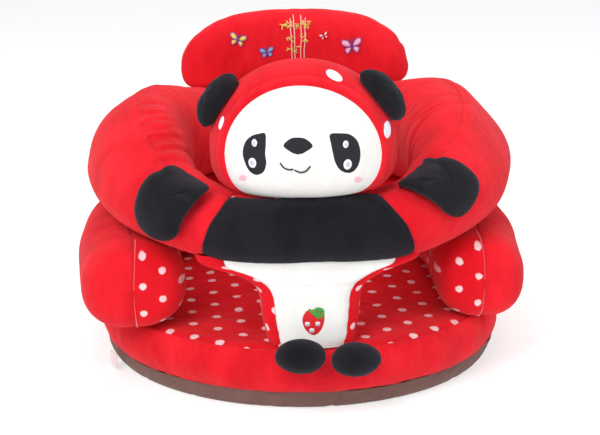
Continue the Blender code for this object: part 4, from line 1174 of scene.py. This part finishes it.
def build_headrest_motifs(front):
    host = Host(front, Matrix.Translation((0, 0.15, 0)))
    rng = np.random.RandomState(7)
    canes = []
    for x, low, high in (
        (0.0045, 0.264, 0.3215),
        (0.0080, 0.262, 0.3250),
        (0.0150, 0.262, 0.3245),
        (0.0190, 0.264, 0.3215),
    ):
        lean = (x - 0.0115) * 6
        heights = np.linspace(low, high, 6)
        canes.append([(x + lean * (z - 0.29) + 0.0003 * math.sin(z * 300), z) for z in heights])
    thread_lines("bamboo_canes", host, canes, 0.0005, "cane_thread", "headrest")
    leaves = []
    for cx, cz, spread, count in (
        (0.002, 0.3140, 0.009, 16),
        (0.018, 0.3150, 0.008, 14),
        (0.003, 0.3000, 0.004, 7),
        (0.018, 0.3005, 0.004, 7),
        (0.003, 0.2890, 0.003, 4),
        (0.012, 0.2890, 0.003, 3),
    ):
        for _ in range(count):
            turn = rng.uniform(-1.5, 1.5)
            x, z = cx + rng.uniform(-spread, spread), cz + rng.uniform(-0.004, 0.004)
            leaves.append((oval(0.0011, 0.0052, x, z, turn, 8), 0.0004, 0.0011))
    patches("bamboo_leaves", host, leaves, "bamboo_leaf_thread", "headrest", "bamboo_embroidery")
    for name, x, z, size, turn, wing, line in (
        ("yellow", -0.0560, 0.2985, 1.0, -0.25, "gold", "plum"),
        ("blue", -0.0235, 0.2845, 0.85, 0.15, "sky", "plum"),
        ("white", 0.0410, 0.3020, 0.55, 0.4, "pale", "berry"),
        ("pink", 0.0730, 0.2895, 1.25, 0.1, "rose", "plum"),
    ):
        butterfly(host, f"butterfly_{name}", x, z, size, turn, f"{wing}_thread", f"{line}_thread")


def butterfly(host, name, cx, cz, size, turn, wing, line):
    """Four stitched wings with a dark outline, a body and two feelers."""

    def place(points):
        c, s = math.cos(turn), math.sin(turn)
        return [(cx + size * (x * c - z * s), cz + size * (x * s + z * c)) for x, z in points]

    upper = [(0.0008, 0.0004), (0.0030, 0.0052), (0.0080, 0.0068), (0.0092, 0.0038), (0.0062, 0.0006)]
    lower = [(0.0008, -0.0006), (0.0055, -0.0006), (0.0066, -0.0036), (0.0044, -0.0062), (0.0018, -0.0038)]
    parts, outlines = [], []
    for wing_points in (upper, lower):
        for side in (1, -1):
            outline = place([(side * x, z) for x, z in wing_points])
            parts.append((outline, 0.0005, 0.0004))
            loop = [tuple(point) for point in closed_curve(outline, 14)]
            outlines.append(loop + loop[:1])
    outlines.append(place([(0, -0.0035), (0, 0.0038)]))
    outlines += [place([(0, 0.0036), (side * 0.0024, 0.0070)]) for side in (1, -1)]
    shared = {"slot": "butterfly_thread"}
    patches(f"{name}_wings", host, parts, wing, "headrest", name, **shared)
    thread_lines(f"{name}_lines", host, outlines, 0.00042, line, "headrest", **shared, lift=0.0010)


# ---- topstitching
def stitch_row(name, spine, look, body, length=0.0012, gap=0.0018, radius=0.00028):
    """Separate stitches along a line of (point, normal)."""
    line, normals = (np.array(side) for side in zip(*spine))
    place = np.concatenate([[0], np.cumsum(np.linalg.norm(np.diff(line, axis=0), axis=1))])
    points, faces = [], []
    start = gap
    while start + length < place[-1]:
        stitch = []
        for share, rise in ((0.0, -0.0004), (0.25, 0.0004), (0.75, 0.0004), (1.0, -0.0004)):
            where = start + share * length
            point = np.array([np.interp(where, place, line[:, k]) for k in range(3)])
            normal = np.array([np.interp(where, place, normals[:, k]) for k in range(3)])
            stitch.append((point + normal * rise, normal))
        add_tube(points, faces, stitch, radius, 5)
        start += length + gap
    return finish_piece(make_mesh(name, points, faces, look), body, look)


def build_stitches(grid, normal, end_rows):
    """Fine pale topstitching beside the seam down each arm's front."""
    upper, lower = seams(grid)
    down = [(row, upper, 1) for row in range(end_rows + 1, 0, -1)]
    down += [(row, lower, -1) for row in range(1, end_rows + 2)]
    last = len(grid) - 1
    other = [(last - row, column, inner) for row, column, inner in down]
    for name, rows in (("right", down), ("left", other)):
        spine = []
        for row, column, inner in rows:
            beside = 0.62 * grid[row, column] + 0.38 * grid[row, column + inner]
            spine.append((beside + normal[row, column] * 0.0005, normal[row, column]))
        stitch_row(f"arm_stitches_{name}", spine, "pale_thread", "seat")


# ---- small hard parts
def dress_cad_nodes():
    """Looks of the CAD nodes that are shown as they are."""
    for look, *names in (
        ("zip_tape_weave", "zip_tape_upper", "zip_tape_lower"),
        ("zip_coil_nylon", "zip_coil"),
        ("zip_metal", "zip_slider", "zip_pull"),
        ("satin_label", "care_label"),
    ):
        for name in names:
            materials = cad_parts[name].data.materials
            materials.clear()
            materials.append(LOOKS[look])


# ---- studio
def place_facing(obj, at, aim):
    obj.location = at
    obj.rotation_mode = "QUATERNION"
    obj.rotation_quaternion = (Vector(aim) - Vector(at)).to_track_quat("-Z", "Y")
    bpy.context.scene.collection.objects.link(obj)


def build_studio():
    scene = bpy.context.scene
    world = bpy.data.worlds.new("studio")
    world.use_nodes = True
    world.node_tree.nodes["Background"].inputs["Color"].default_value = (1, 1, 1, 1)
    world.node_tree.nodes["Background"].inputs["Strength"].default_value = 0.42
    scene.world = world
    far, under = 30, -0.0004
    corners = [(-far, -far, under), (far, -far, under), (far, far, under), (-far, far, under)]
    floor = bare_mesh("floor", corners, [(0, 1, 2, 3)])
    pale = Shader("floor_paper", 0.9)
    pale.put(pale.main, {"Emission Color": (1, 1, 1), "Emission Strength": 0.62})
    pale.colour(pale.mix(pale.noise(3, 3), (0.50, 0.50, 0.50), (0.53, 0.53, 0.53)))
    floor.data.materials.append(pale.material)
    for name, at, size, watts in (
        ("key", (-1.1, -1.6, 1.9), 1.4, 42),
        ("fill", (1.9, -1.5, 1.1), 1.8, 14),
        ("top", (0.1, 0.2, 2.2), 1.6, 20),
    ):
        light = bpy.data.lights.new(name, "AREA")
        light.energy, light.size = watts, size
        place_facing(bpy.data.objects.new(name, light), at, (0, 0, 0.14))
    data = bpy.data.cameras.new("camera")
    data.lens, data.sensor_width = 95.6, 36
    azimuth, elevation, away = math.radians(-5.5), math.radians(16.5), 1.7
    level = away * math.cos(elevation)
    aim = Vector((0, 0, 0.133))
    back = Vector((level * math.sin(azimuth), -level * math.cos(azimuth), away * math.sin(elevation)))
    scene.camera = bpy.data.objects.new("camera", data)
    place_facing(scene.camera, aim + back, aim)
    scene.view_settings.view_transform = "Standard"


def main():
    build_base()
    bolster, bolster_normal, end_rows = build_bolster()
    build_ring()
    build_belly()
    face_obj, hood_obj = build_head()
    build_ears()
    build_paws()
    build_feet()
    front = build_headrest()
    bpy.context.view_layer.update()
    build_face(face_obj)
    build_cheeks(face_obj)
    build_hood_spots(hood_obj)
    build_strawberry()
    build_headrest_motifs(front)
    build_stitches(bolster, bolster_normal, end_rows)
    dress_cad_nodes()
    build_studio()


main()
